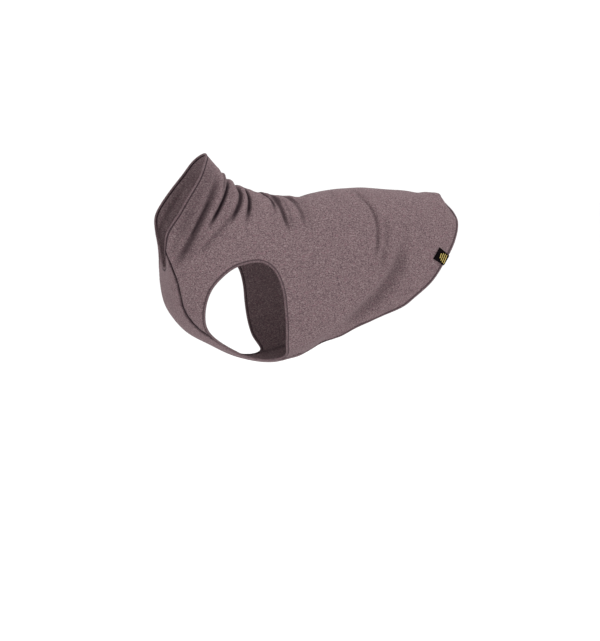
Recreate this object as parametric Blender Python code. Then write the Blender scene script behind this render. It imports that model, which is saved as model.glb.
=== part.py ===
"""Fleece pullover jacket for a large pet: sleeveless, high-necked, worn and hollow.

The head end points to -X, the jacket's left side to -Y and up is +Z. The origin lies on the
inner face of the back, over the withers, where the jacket is held up. The tables below are
in mm and degrees, near that origin, and the pieces are moved to it at the end.

Every piece is a wall of cloth on one worn form. A place on the form has a station, the
distance in mm from the neck edge along the middle of the side, and a turn, the angle round
the body from the spine, in degrees: 90 is the middle of the left side, 180 the belly and
-90 the middle of the right side.
"""

import math
from collections import namedtuple

import bpy
import numpy as np
from mathutils.geometry import delaunay_2d_cdt

MM = 0.001
WITHERS_STATION = 113.0

# Cloth
WALL = 2.0
SEAM_GAP = 0.35
HEM_WIDTH = 5.0
HEM_STANDS_OUT = 0.5
HEM_ROUND = 1.0

# Rings of the worn form. top and low are the points on the spine line and on the chest or
# belly line, half_width is to one side, drop lowers the widest place as a share of the
# ring's height, square fills the corners, pear fills the low half more than the high one,
# bow pushes the sides towards the head, and twist pushes the low left side on towards the
# head and the low right side back, as on a neck that is turned a little to the right.
Ring = namedtuple("Ring", "station top_x top_z low_x low_z half_width drop square pear bow twist")
RINGS = (
    Ring(0, -81, 57, -153, -135, 62, 0.04, 0.02, 0.00, 27, 38),
    Ring(32, -62, 36, -152, -165, 68, 0.05, 0.02, 0.00, 20, 14),
    Ring(64, -38, 11, -149, -193, 75, 0.06, 0.02, 0.01, 12, 0),
    Ring(100, -10, -3, -139, -219, 83, 0.07, 0.02, 0.02, 5, 0),
    Ring(140, 20, -12, -112, -248, 90, 0.05, 0.03, 0.05, 0, 0),
    Ring(178, 52, -15, -72, -271, 94, 0.03, 0.04, 0.08, 0, 0),
    Ring(222, 88, -19, -22, -294, 97, 0.02, 0.05, 0.08, 0, 0),
    Ring(267, 120, -11, 35, -304, 98, 0.02, 0.05, 0.07, 0, 0),
    Ring(314, 155, -5.5, 92, -292, 96, 0.01, 0.05, 0.05, 0, 0),
    Ring(370, 205, -2.5, 150, -278, 91, 0.0, 0.04, 0.02, 0, 0),
    Ring(430, 260, -5.5, 215, -268, 85, 0.0, 0.04, 0.00, 0, 0),
    Ring(492, 315, -11, 285, -262, 79, 0.0, 0.04, 0.00, 0, 0),
    Ring(546, 358, -16, 355, -262, 72, 0.0, 0.03, 0.00, 0, 0),
    Ring(604, 396, -55, 430, -262, 66, 0.0, 0.03, 0.00, 0, 0),
)

# The chest panel's half width at stations from the neck to the belly hem.
PanelWidth = namedtuple("PanelWidth", "station half_width")
CHEST_PANEL = (
    PanelWidth(0, 43),
    PanelWidth(30, 48),
    PanelWidth(55, 51),
    PanelWidth(80, 49),
    PanelWidth(110, 46),
    PanelWidth(150, 44),
    PanelWidth(230, 46),
    PanelWidth(340, 52),
)

# The neck edge's and the skirt edge's stations at turns from the spine down.
EdgePoint = namedtuple("EdgePoint", "turn station")
NECK_EDGE = (
    EdgePoint(0, 0),
    EdgePoint(30, 2),
    EdgePoint(50, 7),
    EdgePoint(70, 6),
    EdgePoint(90, 1),
    EdgePoint(106, -5),
    EdgePoint(120, -8),
    EdgePoint(140, -4),
    EdgePoint(180, 2),
)
SKIRT_EDGE = (
    EdgePoint(0, 571),
    EdgePoint(14, 571),
    EdgePoint(30, 573),
    EdgePoint(50, 567),
    EdgePoint(70, 551),
    EdgePoint(90, 527),
    EdgePoint(106, 505),
    EdgePoint(117, 482),
    EdgePoint(126, 461),
    EdgePoint(133, 428),
    EdgePoint(139, 395),
    EdgePoint(146, 370),
    EdgePoint(152, 348),
    EdgePoint(162, 328),
    EdgePoint(180, 320),
)

# The left armhole's edge. The right one mirrors it.
ArmPoint = namedtuple("ArmPoint", "place station turn")
ARMHOLE = (
    ArmPoint("rear", 234, 108),
    ArmPoint("rear_low", 256, 134),
    ArmPoint("strap_rear", 268, 154),
    ArmPoint("strap", 243, 163),
    ArmPoint("strap_front", 204, 163),
    ArmPoint("front_low", 162, 155),
    ArmPoint("front", 133, 137),
    ArmPoint("front_high", 117, 107),
    ArmPoint("top_front", 132, 88),
    ArmPoint("top", 164, 80),
    ArmPoint("top_rear", 196, 84),
    ArmPoint("rear_high", 219, 95),
)

# Folds. Each runs on a curve through its start, middle and end. depth sinks the cloth, or
# raises it where it is below 0, and width is from the middle of the fold to its flank.
Fold = namedtuple("Fold", "place start_station start_turn middle_station middle_turn "
                          "end_station end_turn depth width")
FOLDS = (
    # Over the spine
    Fold("nape roll", 51, -22, 51, 0, 53, 22, -1.8, 5),
    Fold("withers roll", 67, -22, 66, 0, 69, 22, -2.0, 6),
    Fold("saddle roll", 96, -20, 95, 0, 100, 18, -3.6, 9),
    Fold("saddle fill", 116, -18, 116, -2, 118, 12, -3.4, 9),
    Fold("shoulder roll", 141, -16, 138, -2, 143, 12, -4.4, 10),
    Fold("back fill", 158, -14, 158, -2, 160, 12, -2.8, 7),
    Fold("back roll", 177, -14, 175, 0, 179, 12, -1.8, 9),
    Fold("back low roll", 204, -16, 203, 0, 207, 14, -2.0, 11),
    Fold("croup ridge", 527, -30, 528, 0, 529, 28, -2.0, 14),
    Fold("croup corner", 544, -12, 548, 0, 548, 9, -3.8, 8),
    # Under the belly, ahead of the skirt hem
    Fold("belly tuck", 334, 118, 334, 180, 334, 242, 5.0, 18),
    # Left side, top to bottom of the neck and then along the body
    Fold("collar soft", 13, 56, 18, 88, 13, 118, 2.0, 9),
    Fold("collar deep", 33, 16, 45, 78, 30, 136, 4.8, 8),
    Fold("nape deep", 57, 4, 62, 42, 59, 80, 4.8, 5.5),
    Fold("withers long", 72, 6, 91, 31, 87, 66, 4.2, 6),
    Fold("withers short", 90, -4, 107, 22, 118, 58, 4.6, 5.5),
    Fold("saddle short", 116, 4, 150, 10, 167, 44, 4.0, 5.5),
    Fold("shoulder long", 160, 0, 174, 28, 206, 58, 3.6, 5.5),
    Fold("back short", 184, 2, 211, 25, 234, 54, 2.6, 5.5),
    Fold("back slant", 208, -2, 229, 30, 254, 60, 1.8, 5.5),
    Fold("loin", 362, 20, 390, 58, 380, 92, 3.0, 6),
    Fold("loin low", 402, 30, 410, 58, 402, 88, 1.8, 6),
    Fold("croup side", 556, 4, 562, 24, 556, 48, 5.0, 10),
    Fold("flank long", 447, 70, 433, 106, 346, 143, 6.0, 12),
    Fold("flank ridge", 438, 78, 402, 103, 320, 137, -2.6, 8),
    # Right side
    Fold("collar soft right", 14, -58, 18, -86, 12, -114, 2.0, 9),
    Fold("collar deep right", 38, -38, 41, -76, 32, -116, 4.0, 7),
    Fold("nape deep right", 58, -14, 61, -40, 59, -70, 4.4, 5.5),
    Fold("withers long right", 78, -8, 89, -42, 80, -74, 4.0, 6.5),
    Fold("withers short right", 97, -4, 108, -30, 113, -56, 4.0, 5.5),
    Fold("saddle short right", 118, 2, 145, -14, 158, -42, 3.4, 5.5),
    Fold("shoulder long right", 150, 2, 175, -30, 200, -60, 3.2, 5.5),
    Fold("back short right", 188, -2, 212, -28, 232, -54, 2.4, 5.5),
    Fold("loin right", 366, -20, 379, -50, 382, -78, 2.8, 6),
    Fold("loin low right", 398, -58, 405, -76, 398, -96, 1.8, 6),
    Fold("croup side right", 556, -4, 561, -26, 555, -50, 4.4, 10),
    Fold("flank long right", 452, -66, 437, -102, 350, -142, 5.2, 12),
    Fold("flank ridge right", 440, -76, 405, -100, 324, -136, -2.4, 8),
)
FOLD_STEPS = 12
FOLD_FLANK = 0.35
FOLD_FLANK_AT = 1.9
FOLD_FLANK_WIDTH = 0.8
FOLD_FADE = 0.28

# Woven tab at the left rear hem
TAB_TURN = 86.8
TAB_LENGTH = 26.0
TAB_WIDTH = 20.5
TAB_THICK = 0.9
TAB_OVERHANG = 0.5
TAB_CLEARANCE = 0.3
TAB_STEPS = 6

# Spacing of the points that carry the cloth, closer over the gathered neck
Net = namedtuple("Net", "row across")
NECK_ZONE = 165.0
NECK_NET = Net(5.2, 9.5)
BODY_NET = Net(12.0, 14.0)
NET_CLEARANCE = 0.6
GIRTH_RADIUS = 100.0
SEAM_STEP = 9.0
SEAM_TURNS = (100.0, 180.0)
HALVINGS = 30
NECK_HEM_STEPS = 60
ARM_HEM_STEPS = 60
SKIRT_HEM_STEPS = 104
SLOPE_STEP = 0.4
SAME_POINT = 1e-6
SHARP_ANGLE = math.radians(50)

FLEECE = ("heather_fleece", (0.235, 0.160, 0.172), 0.95)
HEM_FLEECE = ("hem_fleece", (0.205, 0.138, 0.150), 0.95)
WOVEN_BLACK = ("woven_black", (0.012, 0.012, 0.014), 0.7)


def table(rows):
    """The rows of a named table as an array."""
    return np.array([[value for value in row if not isinstance(value, str)] for row in rows], float)


def smooth(keys, values, at):
    """Values between the rows of a table on a smooth curve, and past its ends in a straight line."""
    at = np.asarray(at, float)
    inside = np.clip(at, keys[0], keys[-1])
    past = at - inside
    rates = np.gradient(values, keys, axis=0)
    i = np.clip(np.searchsorted(keys, inside, side="right") - 1, 0, len(keys) - 2)
    step = keys[i + 1] - keys[i]
    t = (inside - keys[i]) / step
    if values.ndim > 1:
        t, step, past = t[..., None], step[..., None], past[..., None]
    end_rate = np.where(past < 0, rates[0], rates[-1])
    return ((1 + 2 * t) * (1 - t) ** 2 * values[i] + t * (1 - t) ** 2 * step * rates[i]
            + t * t * (3 - 2 * t) * values[i + 1] + t * t * (t - 1) * step * rates[i + 1]
            + past * end_rate)


RING_TABLE = table(RINGS)
CHEST_TABLE = table(CHEST_PANEL)
NECK_TABLE = table(NECK_EDGE)
SKIRT_TABLE = table(SKIRT_EDGE)
ARM_TABLE = table(ARMHOLE)


def plain_form(station, turn):
    """Points of the worn form without its folds, in mm."""
    ring = smooth(RING_TABLE[:, 0], RING_TABLE[:, 1:], station)
    top, low = ring[..., 0:2], ring[..., 2:4]
    half_width, drop, square, pear, bow, twist = (ring[..., column] for column in range(4, 10))
    angle = np.radians(turn)
    side = np.sin(angle)
    push = bow * side ** 2 + twist * side * np.abs(side) * np.minimum(np.cos(angle), 0) ** 2
    rise = (1 + np.cos(angle)) / 2 - drop * side ** 2
    up = top - low
    height = np.linalg.norm(up, axis=-1)
    forward = np.stack([-up[..., 1], up[..., 0]], -1) / height[..., None]
    middle = low + up * rise[..., None] + forward * push[..., None]
    across = -half_width * (side + square * np.sin(3 * angle) - pear * np.sin(2 * angle)) / (1 - square)
    return np.stack([middle[..., 0], across, middle[..., 1]], -1)


def slopes(surface, station, turn):
    """How a surface moves for 1 mm of station and for 1 degree of turn."""
    along = surface(station + SLOPE_STEP, turn) - surface(station - SLOPE_STEP, turn)
    round_ = surface(station, turn + SLOPE_STEP) - surface(station, turn - SLOPE_STEP)
    return along / (2 * SLOPE_STEP), round_ / (2 * SLOPE_STEP)


def outward(surface, station, turn):
    """Unit vectors that point out of a surface."""
    along, round_ = slopes(surface, station, turn)
    normal = np.cross(round_, along)
    return normal / np.linalg.norm(normal, axis=-1, keepdims=True)


def fold_paths():
    """The middle line of each fold on the plain form, with its depth and width."""
    share = np.linspace(0, 1, FOLD_STEPS)
    weights = ((1 - share) * (1 - 2 * share), 4 * share * (1 - share), share * (2 * share - 1))
    paths = []
    for fold in FOLDS:
        stations = (fold.start_station, fold.middle_station, fold.end_station)
        turns = (fold.start_turn, fold.middle_turn, fold.end_turn)
        station = sum(weight * value for weight, value in zip(weights, stations))
        turn = sum(weight * value for weight, value in zip(weights, turns))
        paths.append((plain_form(station, turn), fold.depth, fold.width))
    return paths


FOLD_PATHS = fold_paths()


def fold_height(points):
    """How far the folds raise the cloth at points of the plain form."""
    height = np.zeros(points.shape[:-1])
    for path, depth, width in FOLD_PATHS:
        nearest = np.full(points.shape[:-1], np.inf)
        share = np.zeros(points.shape[:-1])
        for i in range(len(path) - 1):
            run = path[i + 1] - path[i]
            t = np.clip((points - path[i]) @ run / (run @ run), 0, 1)
            away = np.linalg.norm(points - path[i] - t[..., None] * run, axis=-1)
            closer = away < nearest
            nearest = np.where(closer, away, nearest)
            share = np.where(closer, (i + t) / (len(path) - 1), share)
        fade = np.clip(np.minimum(share, 1 - share) / FOLD_FADE, 0, 1)
        fade = fade * fade * (3 - 2 * fade)
        reach = nearest / width
        flank = np.exp(-((reach - FOLD_FLANK_AT) / FOLD_FLANK_WIDTH) ** 2)
        height += depth * fade * (FOLD_FLANK * flank - np.exp(-reach ** 2))
    return height


def cloth_face(station, turn):
    """Points of the cloth's outer face, with its folds, in mm."""
    points = plain_form(station, turn)
    return points + outward(plain_form, station, turn) * fold_height(points)[..., None]


def cloth(station, turn, lift=0.0):
    """Points at a lift above the cloth's outer face, or inside it where lift is below 0."""
    return cloth_face(station, turn) + outward(cloth_face, station, turn) * lift


def inset(station, turn, distance):
    """Stations and turns a distance in mm inside a closed edge, which runs with cloth on its left."""
    along, round_ = slopes(plain_form, station, turn)
    ahead = plain_form(np.roll(station, -1), np.roll(turn, -1))
    behind = plain_form(np.roll(station, 1), np.roll(turn, 1))
    inward = np.cross(outward(plain_form, station, turn), ahead - behind)
    inward /= np.linalg.norm(inward, axis=-1, keepdims=True)
    aa, ar, rr = (np.sum(p * q, -1) for p, q in ((along, along), (along, round_), (round_, round_)))
    ia, ir = np.sum(inward * along, -1), np.sum(inward * round_, -1)
    area = aa * rr - ar * ar
    return (station + distance * (ia * rr - ir * ar) / area,
            turn + distance * (ir * aa - ia * ar) / area)


def chest_seam_turn(station):
    """The turn of the left seam between the body panel and the chest panel."""
    half_width = smooth(CHEST_TABLE[:, 0], CHEST_TABLE[:, 1], station)
    high, low = (np.full(np.shape(station), limit) for limit in SEAM_TURNS)
    for _ in range(HALVINGS):
        middle = (high + low) / 2
        wider = -plain_form(station, middle)[..., 1] > half_width
        high, low = np.where(wider, middle, high), np.where(wider, low, middle)
    return (high + low) / 2


def neck_edge():
    """The neck's edge, from the throat up the right and down the left."""
    turn = np.linspace(-180, 180, NECK_HEM_STEPS, endpoint=False)
    return smooth(NECK_TABLE[:, 0], NECK_TABLE[:, 1], np.abs(turn)), turn


def skirt_edge():
    """The skirt's edge, from the belly up the left and down the right."""
    turn = np.linspace(180, -180, SKIRT_HEM_STEPS, endpoint=False)
    return smooth(SKIRT_TABLE[:, 0], SKIRT_TABLE[:, 1], np.abs(turn)), turn


def armhole_edge(side):
    """An armhole's edge from its rear down and round; side is 1 on the left, -1 on the right."""
    lap = len(ARMHOLE)
    points = np.tile(ARM_TABLE, (3, 1))
    runs = flat_map(points[:, 0], points[:, 1])
    reach = np.cumsum(np.linalg.norm(runs - np.roll(runs, 1, axis=0), axis=1))
    share = np.linspace(reach[lap], reach[2 * lap], ARM_HEM_STEPS, endpoint=False)
    station, turn = smooth(reach, points, share).T
    return station[::side], side * turn[::side]


def cut_run(station, turn, keep):
    """The part of a closed run of points where keep is above 0, with points where it is 0."""
    value = keep(station, turn)
    start = next(i for i in range(len(value)) if value[i] > 0 >= value[i - 1])
    order = (start + np.arange(len(value))) % len(value)
    order = order[:next(k for k in range(len(order)) if value[order[k]] <= 0)]

    def crossing(inner, outer):
        t = value[inner] / (value[inner] - value[outer])
        return station[inner] + t * (station[outer] - station[inner]), \
            turn[inner] + t * (turn[outer] - turn[inner])

    first = crossing(order[0], order[0] - 1)
    last = crossing(order[-1], (order[-1] + 1) % len(value))
    return (np.concatenate([[first[0]], station[order], [last[0]]]),
            np.concatenate([[first[1]], turn[order], [last[1]]]))


def seam_side(sign):
    """A test that is above 0 on the body panel's side of the seams, or on the chest panel's."""
    def keep(station, turn):
        round_ = slopes(plain_form, station, turn)[1]
        gap = SEAM_GAP / 2 / np.linalg.norm(round_, axis=-1)
        return sign * (chest_seam_turn(station) - np.abs(turn)) - gap
    return keep


def seam_run(start, end, sign, side):
    """Points along a seam between two stations, on one panel's side of its gap, without its ends."""
    count = max(3, round(abs(end - start) / SEAM_STEP))
    station = np.linspace(start, end, count + 1)[1:-1]
    turn = chest_seam_turn(station)
    gap = SEAM_GAP / 2 / np.linalg.norm(slopes(plain_form, station, turn)[1], axis=-1)
    return station, side * (turn - sign * gap)


def edge_runs(sign):
    """One panel's edges inside the hems: its neck, left armhole, skirt and right armhole."""
    edges = (neck_edge(), armhole_edge(1), skirt_edge(), armhole_edge(-1))
    return [cut_run(*inset(*edge, HEM_WIDTH + SEAM_GAP), seam_side(sign)) for edge in edges]


def body_outline():
    """The body panel's outline: neck, left seams and armhole, skirt, right armhole and seams."""
    neck, left, skirt, right = edge_runs(1)
    return join_runs(neck, seam_run(neck[0][-1], left[0][0], 1, 1), left,
                     seam_run(left[0][-1], skirt[0][0], 1, 1), skirt,
                     seam_run(skirt[0][-1], right[0][0], 1, -1), right,
                     seam_run(right[0][-1], neck[0][0], 1, -1))


def chest_outline():
    """The chest panel's outline, with its turns counted from 0 to 360 across the belly line."""
    neck, left, skirt, right = edge_runs(-1)
    return whole_turn(join_runs(neck, seam_run(neck[0][-1], right[0][0], -1, -1), right,
                                seam_run(right[0][-1], skirt[0][0], -1, -1), skirt,
                                seam_run(skirt[0][-1], left[0][0], -1, 1), left,
                                seam_run(left[0][-1], neck[0][0], -1, 1)))


def whole_turn(run):
    """A run with its turns counted from 0 to 360, so that it can cross the belly line."""
    return run[0], np.where(run[1] < 0, run[1] + 360, run[1])


def join_runs(*runs):
    """Runs of stations and turns as one."""
    return tuple(np.concatenate([run[i] for run in runs]) for i in (0, 1))


def flat_map(station, turn):
    """Stations and turns as nearly flat cloth, in mm."""
    return np.stack([station, np.radians(turn) * GIRTH_RADIUS], -1)


def inside_and_clear(points, outline, clearance):
    """Which points lie inside a closed outline and clear of it."""
    inside = np.zeros(len(points), bool)
    clear = np.ones(len(points), bool)
    for start, end in zip(outline, np.roll(outline, -1, axis=0)):
        crosses = (start[1] > points[:, 1]) != (end[1] > points[:, 1])
        rise = end[1] - start[1] if end[1] != start[1] else 1.0
        at = start[0] + (points[:, 1] - start[1]) * (end[0] - start[0]) / rise
        inside ^= crosses & (points[:, 0] < at)
        run = end - start
        t = np.clip((points - start) @ run / (run @ run), 0, 1)
        clear &= np.linalg.norm(points - start - t[:, None] * run, axis=1) > clearance
    return inside & clear


def cloth_points(outline):
    """Points of a staggered net inside an outline, close at the neck and wider on the body."""
    low, high = outline.min(0), outline.max(0)
    points = []
    station, row = low[0], 0
    while station < high[0]:
        net = NECK_NET if station < NECK_ZONE else BODY_NET
        across = np.arange(low[1], high[1], net.across) + (row % 2) * net.across / 2
        line = np.stack([np.full_like(across, station), across], -1)
        points.append(line[inside_and_clear(line, outline, net.row * NET_CLEARANCE)])
        station += net.row
        row += 1
    return np.concatenate(points)


def panel_mesh(outline):
    """A closed wall of cloth inside an outline of stations and turns."""
    flat_edge = flat_map(*outline)
    flat = np.concatenate([flat_edge, cloth_points(flat_edge)])
    count = len(flat_edge)
    rim = [(i, (i + 1) % count) for i in range(count)]
    result = delaunay_2d_cdt([tuple(p) for p in flat], rim, [], 1, SAME_POINT)
    placed = np.array([tuple(p) for p in result[0]])
    triangles = [tuple(reversed(face)) for face in result[2]]
    station, turn = placed[:, 0], np.degrees(placed[:, 1] / GIRTH_RADIUS)
    outer, inner = cloth(station, turn), cloth(station, turn, -WALL)
    size = len(placed)
    faces = triangles + [tuple(size + i for i in reversed(face)) for face in triangles]
    edges = {}
    for face in triangles:
        for a, b in zip(face, face[1:] + face[:1]):
            edges[(a, b)] = True
    for a, b in edges:
        if (b, a) not in edges:
            faces += [(b, a, size + a), (b, size + a, size + b)]
    return np.concatenate([outer, inner]), faces


def hem_mesh(edge):
    """A narrow turned hem along a closed edge, a little thicker than the cloth."""
    section = (
        (0.0, -WALL / 2),
        (HEM_ROUND, HEM_STANDS_OUT),
        (HEM_WIDTH, HEM_STANDS_OUT),
        (HEM_WIDTH, -WALL - HEM_STANDS_OUT),
        (HEM_ROUND, -WALL - HEM_STANDS_OUT),
    )
    loops = [cloth(*inset(*edge, distance), lift) for distance, lift in section]
    count, around = len(edge[0]), len(section)
    points = np.stack(loops, 1).reshape(-1, 3)
    faces = []
    for i in range(count):
        ahead = (i + 1) % count
        for j in range(around):
            beside = (j + 1) % around
            a, b = i * around + j, ahead * around + j
            c, d = ahead * around + beside, i * around + beside
            faces += [(a, b, c), (a, c, d)]
    return points, faces


def tab_mesh():
    """The woven tab, a thin plate that lies on the cloth and just over the hem's edge."""
    turn = TAB_TURN + np.array([0.5, 0.0, -0.5])
    station = smooth(SKIRT_TABLE[:, 0], SKIRT_TABLE[:, 1], turn)
    side = TAB_STEPS + 1
    stations, turns = [], []
    for depth in np.linspace(-TAB_OVERHANG, TAB_LENGTH - TAB_OVERHANG, side):
        s, v = inset(station, turn, depth)
        length = np.linalg.norm(plain_form(s[2], v[2]) - plain_form(s[0], v[0]))
        share = np.linspace(-TAB_WIDTH, TAB_WIDTH, side) / 2 / length
        stations.append(s[1] + share * (s[2] - s[0]))
        turns.append(v[1] + share * (v[2] - v[0]))
    stations, turns = np.concatenate(stations), np.concatenate(turns)
    lift = HEM_STANDS_OUT + TAB_CLEARANCE
    points = np.concatenate([cloth(stations, turns, lift), cloth(stations, turns, lift + TAB_THICK)])
    size = side * side
    faces = []
    for i in range(TAB_STEPS):
        for j in range(TAB_STEPS):
            a, b = i * side + j, (i + 1) * side + j
            faces += [(a, b, b + 1, a + 1), (size + a, size + a + 1, size + b + 1, size + b)]
    rim = ([j for j in range(TAB_STEPS)] + [i * side + TAB_STEPS for i in range(TAB_STEPS)]
           + [size - 1 - j for j in range(TAB_STEPS)] + [(TAB_STEPS - i) * side for i in range(TAB_STEPS)])
    faces += [(a, b, size + b, size + a) for a, b in zip(rim, rim[1:] + rim[:1])]
    return points, faces


def material(finish):
    """A Principled material from a name, a colour and a roughness."""
    name, colour, roughness = finish
    made = bpy.data.materials.get(name) or bpy.data.materials.new(name)
    made.use_nodes = True
    shader = made.node_tree.nodes["Principled BSDF"]
    shader.inputs["Base Color"].default_value = (*colour, 1.0)
    shader.inputs["Roughness"].default_value = roughness
    shader.inputs["Metallic"].default_value = 0.0
    return made


def add_piece(name, mesh_data, finish):
    """An object for one cut piece, from points in mm and faces that point out."""
    points, faces = mesh_data
    withers = cloth(np.array([WITHERS_STATION]), np.array([0.0]), -WALL) * (1, 0, 1)
    mesh = bpy.data.meshes.new(name)
    mesh.from_pydata([tuple(point) for point in (points - withers) * MM], [], faces)
    mesh.materials.append(material(finish))
    mesh.shade_smooth()
    mesh.set_sharp_from_angle(angle=SHARP_ANGLE)
    piece = bpy.data.objects.new(name, mesh)
    bpy.context.scene.collection.objects.link(piece)
    return piece


def main():
    """Remove what the scene holds and build the jacket."""
    for old in list(bpy.data.objects):
        bpy.data.objects.remove(old, do_unlink=True)
    add_piece("body_panel", panel_mesh(body_outline()), FLEECE)
    add_piece("chest_panel", panel_mesh(chest_outline()), FLEECE)
    add_piece("neck_hem", hem_mesh(neck_edge()), HEM_FLEECE)
    add_piece("armhole_hem_left", hem_mesh(armhole_edge(1)), HEM_FLEECE)
    add_piece("armhole_hem_right", hem_mesh(armhole_edge(-1)), HEM_FLEECE)
    add_piece("skirt_hem", hem_mesh(skirt_edge()), HEM_FLEECE)
    add_piece("tab", tab_mesh(), WOVEN_BLACK)


main()
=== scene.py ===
"""Looks of a fleece pullover jacket: sleeveless, high-necked, worn and hollow.

Every piece is cloth on one worn form, which is worked out here from its rings and creases. A
place on the form has a station, the distance in mm from the neck edge along the middle of the
side, and a turn, the angle round the body from the spine in degrees: 90 is the middle of the
left side, 180 the belly and -90 the middle of the right side. Tables are in mm and degrees near
the withers, and finished pieces are moved to the frame's origin there, in metres.
"""

import logging
import math
from collections.abc import Callable, Mapping, Sequence
from dataclasses import dataclass, field
from enum import Enum
from typing import NamedTuple

import bpy
import numpy as np
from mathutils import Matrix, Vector
from mathutils.geometry import delaunay_2d_cdt


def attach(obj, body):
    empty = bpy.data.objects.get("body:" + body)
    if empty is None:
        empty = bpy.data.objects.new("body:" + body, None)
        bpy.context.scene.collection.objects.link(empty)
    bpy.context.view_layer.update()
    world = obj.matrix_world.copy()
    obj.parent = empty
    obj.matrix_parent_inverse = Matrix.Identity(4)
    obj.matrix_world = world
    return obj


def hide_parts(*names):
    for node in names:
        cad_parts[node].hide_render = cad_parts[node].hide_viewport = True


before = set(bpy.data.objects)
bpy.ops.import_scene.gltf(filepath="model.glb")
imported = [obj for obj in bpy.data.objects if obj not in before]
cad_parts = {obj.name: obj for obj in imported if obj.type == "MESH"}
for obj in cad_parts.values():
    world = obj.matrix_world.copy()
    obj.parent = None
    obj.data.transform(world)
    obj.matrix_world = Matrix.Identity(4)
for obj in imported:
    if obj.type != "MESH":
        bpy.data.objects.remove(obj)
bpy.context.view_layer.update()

LOG = logging.getLogger("jacket")
Array = np.ndarray
Surface = Callable[[Array, Array], Array]
Colour = tuple[float, float, float]

MM = 0.001
ROOT_BODY = "root"


# ---------------------------------------------------------------- the worn form


class Ring(NamedTuple):
    """One ring of the form: its spine and belly points and how its sides fill out, in mm.

    drop lowers the middle of the sides, square fills the ring out above and below them, and pear
    moves its width down. bow pushes the sides towards the head, and twist pushes the low left
    side on and the low right side back, as on a neck that is turned a little to the right.
    """

    station: float
    top_x: float
    top_z: float
    low_x: float
    low_z: float
    half_width: float
    drop: float
    square: float
    pear: float
    bow: float
    twist: float


class EdgePoint(NamedTuple):
    """A point on a cut edge that runs round the body."""

    turn: float
    station: float


class ArmPoint(NamedTuple):
    """A point on the left armhole's edge."""

    station: float
    turn: float


class PanelWidth(NamedTuple):
    """The chest panel's half width at a station."""

    station: float
    half_width: float


class Crease(NamedTuple):
    """A fold on a curve through three places, each a station and a turn.

    A depth below 0 raises the cloth, sharp pinches the fold's middle, and shade is the painted shade
    deep in the fold, from 0 to 1. A sharp fold's painted shade is narrow and a soft one's is broad.
    """

    start: tuple[float, float]
    middle: tuple[float, float]
    end: tuple[float, float]
    depth: float
    width: float
    sharp: float
    shade: float


RINGS = (
    Ring(0, -81, 57, -153, -135, 62, 0.04, 0.02, 0.00, 27, 38),
    Ring(32, -62, 36, -152, -165, 68, 0.05, 0.02, 0.00, 20, 14),
    Ring(64, -38, 11, -149, -193, 75, 0.06, 0.02, 0.01, 12, 0),
    Ring(100, -10, -3, -139, -219, 83, 0.07, 0.02, 0.02, 5, 0),
    Ring(140, 20, -12, -112, -248, 90, 0.05, 0.03, 0.05, 0, 0),
    Ring(178, 52, -15, -72, -271, 94, 0.03, 0.04, 0.08, 0, 0),
    Ring(222, 88, -19, -22, -294, 97, 0.02, 0.05, 0.08, 0, 0),
    Ring(267, 120, -11, 35, -304, 98, 0.02, 0.05, 0.07, 0, 0),
    Ring(314, 155, -5.5, 92, -292, 96, 0.01, 0.05, 0.05, 0, 0),
    Ring(370, 205, -2.5, 150, -278, 91, 0.0, 0.04, 0.02, 0, 0),
    Ring(430, 260, -5.5, 215, -268, 85, 0.0, 0.04, 0.00, 0, 0),
    Ring(492, 315, -11, 285, -262, 79, 0.0, 0.04, 0.00, 0, 0),
    Ring(546, 358, -16, 355, -262, 72, 0.0, 0.03, 0.00, 0, 0),
    Ring(604, 396, -55, 430, -262, 66, 0.0, 0.03, 0.00, 0, 0),
)

CHEST_PANEL = (
    PanelWidth(0, 43),
    PanelWidth(30, 48),
    PanelWidth(55, 51),
    PanelWidth(80, 49),
    PanelWidth(110, 46),
    PanelWidth(150, 44),
    PanelWidth(230, 46),
    PanelWidth(340, 52),
)

NECK_EDGE = (
    EdgePoint(0, 0),
    EdgePoint(30, 2),
    EdgePoint(50, 7),
    EdgePoint(70, 6),
    EdgePoint(90, 1),
    EdgePoint(106, -5),
    EdgePoint(120, -8),
    EdgePoint(140, -4),
    EdgePoint(180, 2),
)

SKIRT_EDGE = (
    EdgePoint(0, 571),
    EdgePoint(14, 571),
    EdgePoint(30, 573),
    EdgePoint(50, 567),
    EdgePoint(70, 551),
    EdgePoint(90, 527),
    EdgePoint(106, 505),
    EdgePoint(117, 482),
    EdgePoint(126, 461),
    EdgePoint(133, 428),
    EdgePoint(139, 395),
    EdgePoint(146, 370),
    EdgePoint(152, 348),
    EdgePoint(162, 328),
    EdgePoint(180, 320),
)

ARMHOLE = (
    ArmPoint(234, 108),
    ArmPoint(256, 134),
    ArmPoint(268, 154),
    ArmPoint(243, 163),
    ArmPoint(204, 163),
    ArmPoint(162, 155),
    ArmPoint(133, 137),
    ArmPoint(117, 107),
    ArmPoint(132, 88),
    ArmPoint(164, 80),
    ArmPoint(196, 84),
    ArmPoint(219, 95),
)

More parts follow.
